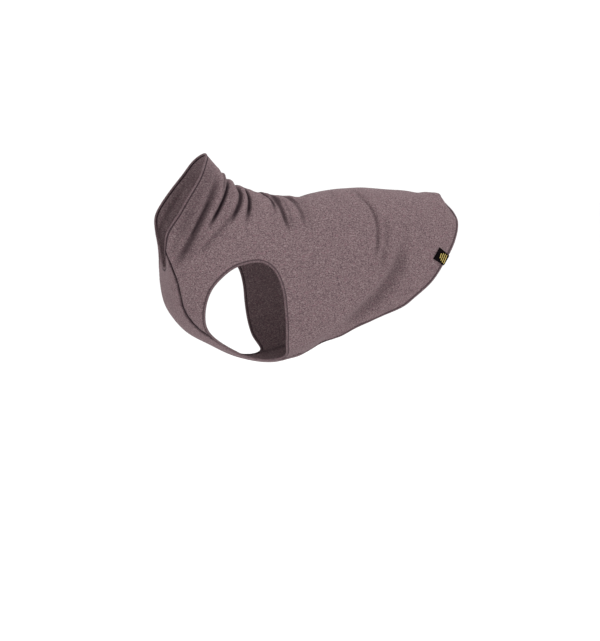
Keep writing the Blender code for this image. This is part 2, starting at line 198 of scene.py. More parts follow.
CREASES = {
    # Rolls over the spine, and the valleys between them
    "nape roll": Crease((51, -22), (51, 0), (53, 22), -1.8, 5, 0, 0),
    "withers roll": Crease((67, -22), (66, 0), (69, 22), -2.0, 6, 0, 0),
    "saddle roll": Crease((96, -20), (95, 0), (100, 18), -3.6, 9, 0, 0),
    "shoulder roll": Crease((141, -16), (138, -2), (143, 12), -4.4, 10, 0, 0),
    "back roll": Crease((177, -14), (175, 0), (179, 12), -1.8, 9, 0, 0),
    "croup ridge": Crease((527, -30), (528, 0), (529, 28), -2.0, 14, 0, 0),
    "croup corner": Crease((544, -12), (548, 0), (548, 9), -3.8, 8, 0, 0),
    "saddle fill": Crease((116, -18), (116, -2), (118, 12), -3.4, 9, 0, 0),
    "back fill": Crease((158, -14), (158, -2), (160, 12), -2.8, 7, 0, 0),
    "back low roll": Crease((204, -16), (203, 0), (207, 14), -2.0, 11, 0, 0),
    "nape valley": Crease((46, -15), (44, 0), (46, 16), 1.6, 3.6, 0.5, 0.25),
    "withers valley": Crease((58, -16), (57, 0), (58, 16), 1.9, 3.6, 0.6, 0.40),
    "saddle valley": Crease((77, -16), (76, 0), (80, 16), 1.6, 4.0, 0.6, 0.45),
    # The crowns are shallow troughs that mostly carry painted shade under the rolls.
    "withers crown": Crease((68, 8), (89, 3), (110, 22), 0.5, 6.5, 0.8, 0.95),
    "saddle crown": Crease((112, 2), (142, 3), (162, 32), 0.6, 6.0, 0.8, 0.92),
    "shoulder crown": Crease((152, 2), (166, 11), (178, 34), 0.7, 5.0, 0.8, 0.74),
    "back crown": Crease((180, 4), (198, 9), (218, 31), 0.8, 5.0, 0.7, 0.60),
    "back low crown": Crease((220, -3), (240, -1), (260, 3), 0.2, 4.6, 0.5, 0.50),
    # Under the belly, ahead of the skirt hem
    "belly tuck": Crease((334, 118), (334, 180), (334, 242), 5.0, 18, 0, 0),
    # Left side, down the neck and then along the body
    "collar soft": Crease((13, 56), (18, 88), (13, 118), 2.0, 9, 0.25, 0.10),
    # collar shade and collar low are shallow and broad, and mostly paint shade over the collar.
    "collar shade": Crease((17, 12), (22, 70), (20, 124), 0.6, 16, 0, 0.36),
    "collar low": Crease((14, 84), (18, 106), (23, 132), 0.7, 7, 0.2, 0.26),
    "collar deep": Crease((33, 14), (44, 78), (30, 138), 4.8, 8, 0.3, 0.70),
    "collar core": Crease((43, 46), (43, 75), (39, 106), 0.8, 5.0, 0.6, 0.88),
    "nape short": Crease((46, 2), (52, 22), (55, 44), 2.6, 4.2, 0.7, 0.45),
    "nape deep": Crease((57, 2), (62, 42), (59, 82), 4.8, 5.5, 1.0, 1.0),
    "nape tail": Crease((58, 64), (57, 92), (48, 116), 1.2, 5.0, 0.2, 0.14),
    "between": Crease((68, 20), (75, 48), (72, 70), 1.4, 4.5, 0.3, 0.16),
    "withers long": Crease((72, 6), (91, 31), (87, 66), 4.2, 6.0, 0.9, 0.90),
    "withers tail": Crease((93, 42), (79, 70), (62, 104), 1.8, 6.0, 0.4, 0.32),
    "withers short": Crease((90, -4), (107, 22), (118, 58), 4.6, 6.0, 1.0, 0.96),
    "saddle short": Crease((116, 4), (150, 10), (167, 44), 4.0, 5.5, 0.9, 0.88),
    "saddle fine": Crease((136, 2), (158, 16), (172, 44), 1.0, 4.0, 0.4, 0.18),
    "shoulder long": Crease((160, 0), (174, 28), (206, 58), 3.6, 5.5, 0.8, 0.72),
    "shoulder side": Crease((170, 2), (183, 28), (214, 58), -1.1, 4.5, 0, 0),
    "shoulder fine": Crease((172, 8), (192, 34), (212, 56), 1.4, 4.2, 0.6, 0.26),
    "back short": Crease((184, 2), (211, 25), (234, 54), 2.6, 5.5, 0.6, 0.46),
    "back slant": Crease((208, -2), (229, 30), (254, 60), 1.8, 5.5, 0.5, 0.12),
    "back faint": Crease((294, -2), (302, 21), (312, 42), 0.9, 5.0, 0.2, 0.08),
    "loin top": Crease((344, 4), (355, 24), (366, 42), 1.3, 4.2, 0.5, 0.18),
    "loin": Crease((346, 20), (385, 56), (384, 91), 2.8, 4.6, 0.8, 0.32),
    "loin low": Crease((399, 46), (407, 70), (400, 98), 1.8, 6, 0.3, 0.18),
    "rump soft": Crease((438, 46), (446, 66), (445, 86), 1.6, 7, 0.2, 0.08),
    "croup side": Crease((556, 4), (562, 24), (556, 48), 5.0, 10, 0, 0),
    "flank long": Crease((441, 68), (425, 104), (342, 143), 6.0, 12, 0, 0.32),
    "flank ridge": Crease((430, 76), (395, 101), (318, 137), -2.6, 8, 0, 0),
    "armhole drag": Crease((246, 102), (288, 98), (334, 84), 0.9, 13, 0, 0),
    # Right side, alike and never the same
    "collar soft right": Crease((14, -58), (18, -86), (12, -114), 2.0, 9, 0.25, 0.10),
    "collar shade right": Crease((18, -14), (23, -70), (21, -118), 0.6, 16, 0, 0.32),
    "collar deep right": Crease((38, -38), (41, -76), (32, -116), 4.0, 7, 0.3, 0.60),
    "nape short right": Crease((48, -6), (53, -22), (54, -42), 2.2, 4.2, 0.6, 0.38),
    "nape deep right": Crease((58, -14), (61, -40), (59, -70), 4.4, 5.5, 0.9, 0.90),
    "nape tail right": Crease((59, -56), (58, -82), (50, -108), 1.1, 5.0, 0.2, 0.12),
    "withers hook right": Crease((84, -12), (91, -30), (90, -46), 2.2, 3.8, 0.9, 0.50),
    "withers long right": Crease((78, -8), (89, -42), (80, -74), 4.0, 6.5, 0.8, 0.72),
    "withers tail right": Crease((86, -50), (76, -80), (60, -106), 1.6, 5.5, 0.4, 0.24),
    "withers short right": Crease((97, -4), (108, -30), (113, -56), 4.0, 5.5, 0.9, 0.82),
    "saddle short right": Crease((118, 2), (145, -14), (158, -42), 3.4, 5.5, 0.8, 0.66),
    "shoulder long right": Crease((150, 2), (175, -30), (200, -60), 3.2, 5.5, 0.7, 0.55),
    "shoulder fine right": Crease((178, -12), (199, -36), (217, -56), 1.5, 4.4, 0.5, 0.22),
    "back short right": Crease((188, -2), (212, -28), (232, -54), 2.4, 5.5, 0.5, 0.36),
    "back slant right": Crease((214, -6), (234, -32), (248, -56), 1.4, 5.5, 0.4, 0.18),
    "loin top right": Crease((350, -4), (358, -24), (364, -40), 1.4, 4.4, 0.5, 0.15),
    "loin right": Crease((366, -20), (379, -50), (382, -78), 2.8, 6, 0.5, 0.30),
    "loin low right": Crease((398, -58), (405, -76), (398, -96), 1.8, 6, 0.3, 0.12),
    "rump soft right": Crease((432, -48), (440, -66), (437, -86), 1.5, 7, 0.2, 0.07),
    "croup side right": Crease((556, -4), (561, -26), (555, -50), 4.4, 10, 0, 0),
    "flank long right": Crease((452, -66), (437, -102), (350, -142), 5.2, 12, 0, 0.28),
    "flank ridge right": Crease((440, -76), (405, -100), (324, -136), -2.4, 8, 0, 0),
    "armhole drag right": Crease((250, -104), (284, -96), (326, -88), 0.9, 13, 0, 0),
}


class Wave(NamedTuple):
    """A slow unevenness of the cloth: its height in mm and its turns along and round the body."""

    height: float
    along: float
    round: float
    phase: float


DRIFT = (
    Wave(0.30, 0.031, 2.0, 0.4),
    Wave(0.24, 0.052, -3.0, 2.1),
    Wave(0.20, -0.043, 5.0, 4.0),
    Wave(0.14, 0.083, 4.0, 1.2),
    Wave(0.12, 0.071, -8.0, 5.3),
    Wave(0.08, 0.131, 9.0, 3.1),
)


def rows(table: Sequence[NamedTuple]) -> Array:
    """The rows of a table as an array."""
    return np.array(table, float)


def smooth(keys: Array, values: Array, at: Array) -> Array:
    """Reads a table on a smooth curve, and past its ends in a straight line.

    Args:
        keys: The rising key of each row.
        values: One value or one row of values for each key.
        at: Where to read.

    Returns:
        The values there.
    """
    at = np.asarray(at, float)
    inside = np.clip(at, keys[0], keys[-1])
    past = at - inside
    rates = np.gradient(values, keys, axis=0)
    i = np.clip(np.searchsorted(keys, inside, side="right") - 1, 0, len(keys) - 2)
    step = keys[i + 1] - keys[i]
    t = (inside - keys[i]) / step
    if values.ndim > 1:
        t, step, past = t[..., None], step[..., None], past[..., None]
    end_rate = np.where(past < 0, rates[0], rates[-1])
    return (
        (1 + 2 * t) * (1 - t) ** 2 * values[i]
        + t * (1 - t) ** 2 * step * rates[i]
        + t * t * (3 - 2 * t) * values[i + 1]
        + t * t * (t - 1) * step * rates[i + 1]
        + past * end_rate
    )


def ease(value: Array, low: float, high: float) -> Array:
    """Rises smoothly from 0 at low to 1 at high."""
    t = np.clip((value - low) / (high - low), 0, 1)
    return t * t * (3 - 2 * t)


def bell(distance: Array, width: float) -> Array:
    """1 at a distance of 0, falling off over a width."""
    return np.exp(-((distance / width) ** 2))


def band(distance: Array, width: float) -> Array:
    """Nearly 1 over most of a width from a distance of 0, and then falling off fast."""
    return np.exp(-((distance / width) ** 4))


def unit(vectors: Array) -> Array:
    """The vectors at a length of 1."""
    return vectors / np.linalg.norm(vectors, axis=-1, keepdims=True)


@dataclass
class Edge:
    """A run of places on the form."""

    station: Array
    turn: Array

    def __len__(self) -> int:
        """How many places it has."""
        return len(self.station)

    @classmethod
    def joined(cls, *edges: "Edge") -> "Edge":
        """One run out of several."""
        return cls(np.concatenate([e.station for e in edges]), np.concatenate([e.turn for e in edges]))


@dataclass
class CreaseField:
    """The creases as 3-D paths on the plain form, and what they do to the cloth.

    A trough and its painted shade fall off with a power of the distance. Where a crease is sharp,
    power_drop lowers the trough's power and shade_power_rise raises the painted shade's.
    """

    plain: Surface
    steps: int = 12
    flank: float = 0.35
    flank_at: float = 1.9
    flank_width: float = 0.8
    fade_share: float = 0.28
    soft_power: float = 2.0
    power_drop: float = 0.6
    shade_power_rise: float = 1.6
    pinch_depth: float = 0.5
    pinch_width: float = 0.34
    sharp_shade_width: float = 0.66
    soft_shade_width: float = 1.0
    finest_width: float = 6.5
    paths: list[tuple[Array, Crease]] = field(default_factory=list)

    def __post_init__(self) -> None:
        """Lays each crease's middle line on the plain form."""
        share = np.linspace(0, 1, self.steps)
        weights = ((1 - share) * (1 - 2 * share), 4 * share * (1 - share), share * (2 * share - 1))
        for crease in CREASES.values():
            places = (crease.start, crease.middle, crease.end)
            station, turn = (sum(w * place[i] for w, place in zip(weights, places)) for i in (0, 1))
            self.paths.append((self.plain(station, turn), crease))

    def reach(self, points: Array, path: Array) -> tuple[Array, Array]:
        """How far points are from a path.

        Args:
            points: Places on the plain form, in mm.
            path: A crease's middle line, in mm.

        Returns:
            Each point's distance in mm, and the share of the path that lies nearest to it.
        """
        nearest = np.full(points.shape[:-1], np.inf)
        share = np.zeros(points.shape[:-1])
        for i in range(len(path) - 1):
            run = path[i + 1] - path[i]
            t = np.clip((points - path[i]) @ run / (run @ run), 0, 1)
            away = np.linalg.norm(points - path[i] - t[..., None] * run, axis=-1)
            closer = away < nearest
            nearest = np.where(closer, away, nearest)
            share = np.where(closer, (i + t) / (len(path) - 1), share)
        return nearest, share

    def effect(self, points: Array) -> tuple[Array, Array, Array]:
        """What the creases do at points of the plain form.

        Args:
            points: Places on the plain form, in mm.

        Returns:
            The height that they add, the painted shade deep in them from 0 to 1, and the distance to
            the nearest crease in widths of that crease, or in the finest width on a wide one.
        """
        height = np.zeros(points.shape[:-1])
        shade = np.zeros(points.shape[:-1])
        closest = np.full(points.shape[:-1], np.inf)
        for path, crease in self.paths:
            nearest, share = self.reach(points, path)
            away = nearest / crease.width
            fade = ease(np.minimum(share, 1 - share), 0, self.fade_share)
            trough = np.exp(-(away ** (self.soft_power - self.power_drop * crease.sharp)))
            trough += self.pinch_depth * crease.sharp * bell(away, self.pinch_width)
            flank = self.flank * bell(away - self.flank_at, self.flank_width)
            height += crease.depth * fade * (flank - trough)
            # Painted shade, darkest along the crease.
            softness = self.soft_shade_width - self.sharp_shade_width
            shade_width = self.soft_shade_width - softness * crease.sharp
            shade_power = self.soft_power + self.shade_power_rise * crease.sharp
            core = np.exp(-((away / shade_width) ** shade_power))
            shade = np.maximum(shade, fade * crease.shade * core)
            closest = np.minimum(closest, nearest / min(crease.width, self.finest_width))
        return height, shade, closest


@dataclass
class WornForm:
    """The form that the cloth lies on, with its creases."""

    wall: float = 2.0
    slope_step: float = 0.4
    withers: tuple[float, float, float] = (-0.786, 0.0, -7.171)
    rings: Array = field(default_factory=lambda: rows(RINGS))

    def __post_init__(self) -> None:
        """Lays the creases."""
        self.creases = CreaseField(self.plain)

    def plain(self, station: Array, turn: Array) -> Array:
        """The form without creases.

        Args:
            station: Each place's station.
            turn: Each place's turn.

        Returns:
            The points there, in mm.
        """
        ring = smooth(self.rings[:, 0], self.rings[:, 1:], station)
        top, low = ring[..., 0:2], ring[..., 2:4]
        half_width, drop, square, pear, bow, twist = (ring[..., column] for column in range(4, 10))
        angle = np.radians(turn)
        side = np.sin(angle)
        push = bow * side**2 + twist * side * np.abs(side) * np.minimum(np.cos(angle), 0) ** 2
        rise = (1 + np.cos(angle)) / 2 - drop * side**2
        up = top - low
        height = np.linalg.norm(up, axis=-1)
        forward = np.stack([-up[..., 1], up[..., 0]], -1) / height[..., None]
        middle = low + up * rise[..., None] + forward * push[..., None]
        bulge = side + square * np.sin(3 * angle) - pear * np.sin(2 * angle)
        return np.stack([middle[..., 0], -half_width * bulge / (1 - square), middle[..., 1]], -1)

    def slopes(self, surface: Surface, station: Array, turn: Array) -> tuple[Array, Array]:
        """How a surface runs.

        Args:
            surface: The plain form or the cloth's face.
            station: Each place's station.
            turn: Each place's turn.

        Returns:
            How it moves for 1 mm of station and for 1 degree of turn.
        """
        step = self.slope_step
        along = surface(station + step, turn) - surface(station - step, turn)
        around = surface(station, turn + step) - surface(station, turn - step)
        return along / (2 * step), around / (2 * step)

    def outward(self, surface: Surface, station: Array, turn: Array) -> Array:
        """Unit vectors that point out of a surface."""
        along, around = self.slopes(surface, station, turn)
        return unit(np.cross(around, along))

    def face(self, station: Array, turn: Array) -> Array:
        """The cloth's outer face.

        Args:
            station: Each place's station.
            turn: Each place's turn.

        Returns:
            The points there, in mm.
        """
        points = self.plain(station, turn)
        height = self.creases.effect(points)[0] + self.drift(station, turn)
        return points + self.outward(self.plain, station, turn) * height[..., None]

    def drift(self, station: Array, turn: Array) -> Array:
        """The cloth's slow unevenness, in mm."""
        angle = np.radians(turn)
        return sum(w.height * np.sin(w.along * station + w.round * angle + w.phase) for w in DRIFT)

    def cloth(self, edge: Edge, lift: Array | float) -> Array:
        """Points at a lift in mm above the cloth's outer face."""
        return self.layers(edge, (lift,))[0]

    def layers(self, edge: Edge, lifts: Sequence[Array | float]) -> list[Array]:
        """The same places in several layers.

        Args:
            edge: A run of places.
            lifts: How far each layer stands above the cloth's outer face, in mm.

        Returns:
            Each layer's points, in mm.
        """
        normal = self.outward(self.face, edge.station, edge.turn)
        face = self.face(edge.station, edge.turn)
        return [face + normal * np.asarray(lift, float)[..., None] for lift in lifts]

    def inset(self, edge: Edge, distance: Array | float) -> Edge:
        """Moves a closed edge into the cloth on its left.

        Args:
            edge: A closed run of places with the cloth on its left.
            distance: How far to move it, in mm.

        Returns:
            The moved run.
        """
        along, around = self.slopes(self.plain, edge.station, edge.turn)
        ahead = self.plain(np.roll(edge.station, -1), np.roll(edge.turn, -1))
        behind = self.plain(np.roll(edge.station, 1), np.roll(edge.turn, 1))
        inward = unit(np.cross(self.outward(self.plain, edge.station, edge.turn), ahead - behind))
        pairs = ((along, along), (along, around), (around, around), (inward, along), (inward, around))
        aa, ar, rr, ia, ir = (np.sum(p * q, -1) for p, q in pairs)
        area = aa * rr - ar * ar
        return Edge(
            edge.station + distance * (ia * rr - ir * ar) / area,
            edge.turn + distance * (ir * aa - ia * ar) / area,
        )

    def placed(self, points: Array) -> Array:
        """Points in the frame, in metres."""
        return (points - np.array(self.withers)) * MM


# ---------------------------------------------------------------- the cut


@dataclass
class Cut:
    """Where the cloth is cut and sewn: its edges, its chest seams and the outline of each panel."""

    form: WornForm
    seam_gap: float = 0.3
    hem_width: float = 5.0
    tuck: float = -0.35
    seam_step: float = 2.5
    fewest_steps: int = 3
    neck_steps: int = 240
    arm_steps: int = 200
    skirt_steps: int = 400
    girth_radius: float = 100.0
    seam_between: tuple[float, float] = (100.0, 180.0)
    halvings: int = 26

    def flat(self, edge: Edge) -> Array:
        """Places as nearly flat cloth, in mm."""
        return np.stack([edge.station, np.radians(edge.turn) * self.girth_radius], -1)

    def ring_edge(self, table: Sequence[EdgePoint], turn: Array) -> Edge:
        """A cut edge at some turns. It is alike on both sides."""
        keys = rows(table)
        return Edge(smooth(keys[:, 0], keys[:, 1], np.abs(turn)), turn)

    def neck(self) -> Edge:
        """The neck's edge, from the throat up the right and down the left."""
        return self.ring_edge(NECK_EDGE, np.linspace(-180, 180, self.neck_steps, endpoint=False))

    def skirt(self) -> Edge:
        """The skirt's edge, from the belly up the left and down the right."""
        return self.ring_edge(SKIRT_EDGE, np.linspace(180, -180, self.skirt_steps, endpoint=False))

    def armhole(self, side: int) -> Edge:
        """An armhole's edge, from its rear down and round.

        Args:
            side: 1 on the left and -1 on the right.

        Returns:
            The run of places.
        """
        lap = len(ARMHOLE)
        points = np.tile(rows(ARMHOLE), (3, 1))
        runs = self.flat(Edge(points[:, 0], points[:, 1]))
        reach = np.cumsum(np.linalg.norm(runs - np.roll(runs, 1, axis=0), axis=1))
        share = np.linspace(reach[lap], reach[2 * lap], self.arm_steps, endpoint=False)
        station, turn = smooth(reach, points, share).T
        return Edge(station[::side], side * turn[::side])

    def seam_turn(self, station: Array) -> Array:
        """Where the left seam between the body panel and the chest panel runs.

        Args:
            station: The stations to look at.

        Returns:
            The seam's turn at each.
        """
        table = rows(CHEST_PANEL)
        half_width = smooth(table[:, 0], table[:, 1], station)
        high, low = (np.full(np.shape(station), limit) for limit in self.seam_between)
        for _ in range(self.halvings):
            middle = (high + low) / 2
            wider = -self.form.plain(station, middle)[..., 1] > half_width
            high, low = np.where(wider, middle, high), np.where(wider, low, middle)
        return (high + low) / 2

    def seam_distance(self, edge: Edge) -> Array:
        """How far places are from the chest seams, in mm, above 0 on the body panel's side."""
        around = self.form.slopes(self.form.plain, edge.station, edge.turn)[1]
        return (self.seam_turn(edge.station) - np.abs(edge.turn)) * np.linalg.norm(around, axis=-1)

    def kept(self, edge: Edge, sign: int) -> Edge:
        """The part of a closed run on one side of the seams.

        Args:
            edge: A closed run of places.
            sign: 1 for the body panel's side and -1 for the chest panel's.

        Returns:
            The part on that side, which ends on the seam's edges.
        """
        value = sign * self.seam_distance(edge) - self.seam_gap / 2
        count = len(edge)
        start = next(i for i in range(count) if value[i] > 0 >= value[i - 1])
        order = (start + np.arange(count)) % count
        order = order[: next(k for k in range(count) if value[order[k]] <= 0)]

        def crossing(inner: int, outer: int) -> Edge:
            """Finds where the run meets the seam's edge between two neighbours.

            Args:
                inner: The index of the place on the panel.
                outer: The index of its neighbour past the seam.

            Returns:
                The one place in between.
            """
            t = value[inner] / (value[inner] - value[outer])
            places = (run[inner] + t * (run[outer] - run[inner]) for run in (edge.station, edge.turn))
            return Edge(*(np.array([place]) for place in places))

        first = crossing(order[0], order[0] - 1)
        last = crossing(order[-1], (order[-1] + 1) % count)
        return Edge.joined(first, Edge(edge.station[order], edge.turn[order]), last)

    def seam(self, start: float, end: float, sign: int, side: int) -> Edge:
        """Places along one panel's side of a seam.

        Args:
            start: The station before the first place.
            end: The station after the last place.
            sign: 1 for the body panel's side and -1 for the chest panel's.
            side: 1 for the left seam and -1 for the right seam.

        Returns:
            The run of places.
        """
        count = max(self.fewest_steps, round(abs(end - start) / self.seam_step))
        station = np.linspace(start, end, count + 1)[1:-1]
        turn = self.seam_turn(station)
        around = self.form.slopes(self.form.plain, station, turn)[1]
        return Edge(station, side * (turn - sign * self.seam_gap / 2 / np.linalg.norm(around, axis=-1)))

    def edge_runs(self, sign: int) -> list[Edge]:
        """One panel's edges under the hems: its neck, left armhole, skirt and right armhole."""
        edges = (self.neck(), self.armhole(1), self.skirt(), self.armhole(-1))
        return [self.kept(self.form.inset(e, self.hem_width - self.tuck), sign) for e in edges]

    def outline(self, runs: Sequence[tuple[Edge, int]], sign: int) -> Edge:
        """Joins a panel's edges with the seams between them.

        Args:
            runs: Its edges in order, each with the side of the seam that follows it.
            sign: 1 for the body panel and -1 for the chest panel.

        Returns:
            The closed outline.
        """
        parts = []
        for (edge, side), (following, _) in zip(runs, [*runs[1:], runs[0]]):
            parts += [edge, self.seam(edge.station[-1], following.station[0], sign, side)]
        return Edge.joined(*parts)

    def body_outline(self) -> Edge:
        """The body panel's outline."""
        neck, left, skirt, right = self.edge_runs(1)
        return self.outline([(neck, 1), (left, 1), (skirt, -1), (right, -1)], 1)

    def chest_outline(self) -> Edge:
        """The chest panel's outline.

        Returns:
            The closed outline, with its turns counted from 0 to 360.
        """
        neck, left, skirt, right = self.edge_runs(-1)
        outline = self.outline([(neck, -1), (right, -1), (skirt, 1), (left, 1)], -1)
        return Edge(outline.station, np.where(outline.turn < 0, outline.turn + 360, outline.turn))


# ---------------------------------------------------------------- shader expressions


class Signal:
    """A shader socket that takes part in Python expressions."""

    def __init__(self, sheet: "ShaderSheet", socket: bpy.types.NodeSocket) -> None:
        """Keeps the socket and the sheet that it is on."""
        self.sheet = sheet
        self.socket = socket

    def maths(self, operation: str, first: "Signal | float", second: "Signal | float") -> "Signal":
        """One Math node on two values."""
        return self.sheet.read("ShaderNodeMath", 0, {"operation": operation}, {0: first, 1: second})

    def __add__(self, other: "Signal | float") -> "Signal":
        """The sum."""
        return self.maths("ADD", self, other)

    def __radd__(self, other: float) -> "Signal":
        """The sum."""
        return self.maths("ADD", other, self)

    def __sub__(self, other: "Signal | float") -> "Signal":
        """The difference."""
        return self.maths("SUBTRACT", self, other)

    def __rsub__(self, other: float) -> "Signal":
        """The difference the other way round."""
        return self.maths("SUBTRACT", other, self)

    def __mul__(self, other: "Signal | float") -> "Signal":
        """The product."""
        return self.maths("MULTIPLY", self, other)

    def __rmul__(self, other: float) -> "Signal":
        """The product."""
        return self.maths("MULTIPLY", other, self)

    def between(self, low: float, high: float) -> "Signal":
        """0 below low, 1 above high and smooth in between."""
        settings = {"interpolation_type": "SMOOTHSTEP"}
        return self.sheet.read("ShaderNodeMapRange", 0, settings, {0: self, 1: low, 2: high})


class Grain(NamedTuple):
    """A noise in a finish: how fine it is, in steps a metre, its detail and its roughness."""

    scale: float
    detail: float
    rough: float = 0.5


class ShaderSheet:
    """The node tree of one material."""

    def __init__(self, name: str) -> None:
        """Starts a material with only a Principled shader and an output.

        Args:
            name: The material's name.
        """
        self.material = bpy.data.materials.new(name)
        self.material.use_nodes = True
        self.tree = self.material.node_tree
        self.shader = self.tree.nodes["Principled BSDF"]

    def node(
        self,
        kind: str,
        settings: Mapping[str, object] | None = None,
        sockets: Mapping[int | str, object] | None = None,
    ) -> bpy.types.Node:
        """Adds any node.

        Args:
            kind: The node's type.
            settings: Its own settings, such as an operation.
            sockets: Values or links of its inputs.

        Returns:
            The node.
        """
        made = self.tree.nodes.new(kind)
        for key, value in (settings or {}).items():
            setattr(made, key, value)
        self.feed(made, sockets or {})
        return made

    def feed(self, made: bpy.types.Node, sockets: Mapping[int | str, object]) -> None:
        """Sets or links a node's inputs.

        Args:
            made: The node.
            sockets: A value or a signal for each input.
        """
        for key, value in sockets.items():
            if isinstance(value, Signal):
                self.tree.links.new(value.socket, made.inputs[key])
            else:
                made.inputs[key].default_value = value

    def read(
        self,
        kind: str,
        output: int | str,
        settings: Mapping[str, object] | None = None,
        sockets: Mapping[int | str, object] | None = None,
    ) -> Signal:
        """Adds any node and gives one of its outputs."""
        return Signal(self, self.node(kind, settings, sockets).outputs[output])

    def place(self) -> Signal:
        """Where a point is on the object, in metres."""
        return self.read("ShaderNodeTexCoord", "Object")

    def attribute(self, name: str) -> Signal:
        """A number that the mesh carries."""
        return self.read("ShaderNodeAttribute", "Fac", {"attribute_name": name})

    def stretched(self, vector: Signal, scale: tuple[float, float, float]) -> Signal:
        """A vector with each part scaled."""
        return self.read("ShaderNodeVectorMath", 0, {"operation": "MULTIPLY"}, {0: vector, 1: scale})

    def noise(self, vector: Signal, grain: Grain) -> Signal:
        """Soft noise from 0 to 1."""
        sockets = {"Vector": vector, "Scale": grain.scale, "Detail": grain.detail, "Roughness": grain.rough}
        return self.read("ShaderNodeTexNoise", "Fac", None, sockets)

    def mixed(
        self, share: Signal, low: Signal | tuple[float, ...], high: Signal | tuple[float, ...]
    ) -> Signal:
        """A colour between two colours, by a Mix node's colour sockets."""
        return self.read("ShaderNodeMix", 2, {"data_type": "RGBA"}, {0: share, 6: low, 7: high})

    def bump(self, height: Signal, strength: float, distance: float) -> Signal:
        """The normal of a finely uneven surface."""
        sockets = {"Height": height, "Strength": strength, "Distance": distance}
        return self.read("ShaderNodeBump", 0, None, sockets)


def opaque(colour: Colour) -> tuple[float, float, float, float]:
    """A colour with no transparency."""
    return (*colour, 1.0)


class Tint(NamedTuple):
    """How a tone shows where a noise is high: from where, fully from where, and how strongly."""

    start: float
    full: float
    strength: float


@dataclass(frozen=True)
class HeatherFleece:
    """Short-napped stretch fleece, spun from light, dark and rosy fibres.

    brushing draws the fibres out along the body, and the nap is part fibres and part flecks.
    """

    name: str
    body: Colour = (0.156, 0.107, 0.114)
    light: Colour = (0.290, 0.220, 0.222)
    dark: Colour = (0.058, 0.036, 0.044)
    rose: Colour = (0.200, 0.105, 0.126)
    # deep is the near-black of painted shade, which the shade attribute mixes in at creases, seams and hem
    # grooves.
    deep: Colour = (0.012, 0.005, 0.008)
    brushing: tuple[float, float, float] = (0.62, 1.0, 1.0)
    fibres: Grain = Grain(1700.0, 2.0, 0.6)
    flecks: Grain = Grain(640.0, 2.0, 0.55)
    clouds: Grain = Grain(60.0, 3.0)
    warmth: Grain = Grain(330.0, 2.0)
    fleck_tint: Tint = Tint(0.52, 0.66, 0.72)
    warm_tint: Tint = Tint(0.55, 0.70, 0.40)
    light_fibre_tint: Tint = Tint(0.56, 0.74, 0.35)
    dark_fibre_tint: Tint = Tint(0.54, 0.74, 0.40)
    cloud_tint: Tint = Tint(0.45, 0.75, 0.10)
    roughness: float = 0.96
    gloss: float = 0.15
    sheen: float = 0.03
    sheen_roughness: float = 0.45
    sheen_tint: Colour = (0.85, 0.74, 0.76)
    nap_fibres: float = 0.55
    nap_flecks: float = 0.45
    nap_strength: float = 0.55
    nap_height: float = 0.0007

    def build(self) -> bpy.types.Material:
        """Makes the material.

        Returns:
            The finished material.
        """
        sheet = ShaderSheet(self.name)
        place = sheet.place()
        brushed = sheet.stretched(place, self.brushing)
        fibre = sheet.noise(brushed, self.fibres)
        fleck = sheet.noise(brushed, self.flecks)
        cloud = sheet.noise(place, self.clouds)
        warm = sheet.noise(brushed, self.warmth)
        tones = (
            (fleck, self.fleck_tint, self.light),
            (1 - fleck, self.fleck_tint, self.dark),
            (warm, self.warm_tint, self.rose),
            (fibre, self.light_fibre_tint, self.light),
            (1 - fibre, self.dark_fibre_tint, self.dark),
            (cloud, self.cloud_tint, self.dark),
        )
        colour = opaque(self.body)
        for noise, tint, tone in tones:
            share = noise.between(tint.start, tint.full) * tint.strength
            colour = sheet.mixed(share, colour, opaque(tone))
        nap = fibre * self.nap_fibres + fleck * self.nap_flecks
        sockets = {
            # Painted shade: the shade attribute darkens the colour towards deep.
            "Base Color": sheet.mixed(sheet.attribute("shade"), colour, opaque(self.deep)),
            "Roughness": self.roughness,
            "Specular IOR Level": self.gloss,
            "Sheen Weight": self.sheen,
            "Sheen Roughness": self.sheen_roughness,
            "Sheen Tint": opaque(self.sheen_tint),
            "Normal": sheet.bump(nap, self.nap_strength, self.nap_height),
        }
        sheet.feed(sheet.shader, sockets)
        return sheet.material


@dataclass(frozen=True)
class SewingThread:
    """Matt twisted polyester thread."""

    name: str = "sewing_thread"
    colour: Colour = (0.062, 0.040, 0.046)
    roughness: float = 0.6
    twist: Grain = Grain(2600.0, 1.0)
    twist_light: float = 1.7
    twist_strength: float = 0.4
    twist_height: float = 0.0002

    def build(self) -> bpy.types.Material:
        """Makes the material.

        Returns:
            The finished material.
        """
        sheet = ShaderSheet(self.name)
        twist = sheet.noise(sheet.place(), self.twist)
        # Painted highlight: the thread is lighter where the twist noise is high.
        lit = opaque(tuple(self.twist_light * part for part in self.colour))
        shade = sheet.mixed(twist, opaque(self.colour), lit)
        normal = sheet.bump(twist, self.twist_strength, self.twist_height)
        sheet.feed(sheet.shader, {"Base Color": shade, "Roughness": self.roughness, "Normal": normal})
        return sheet.material


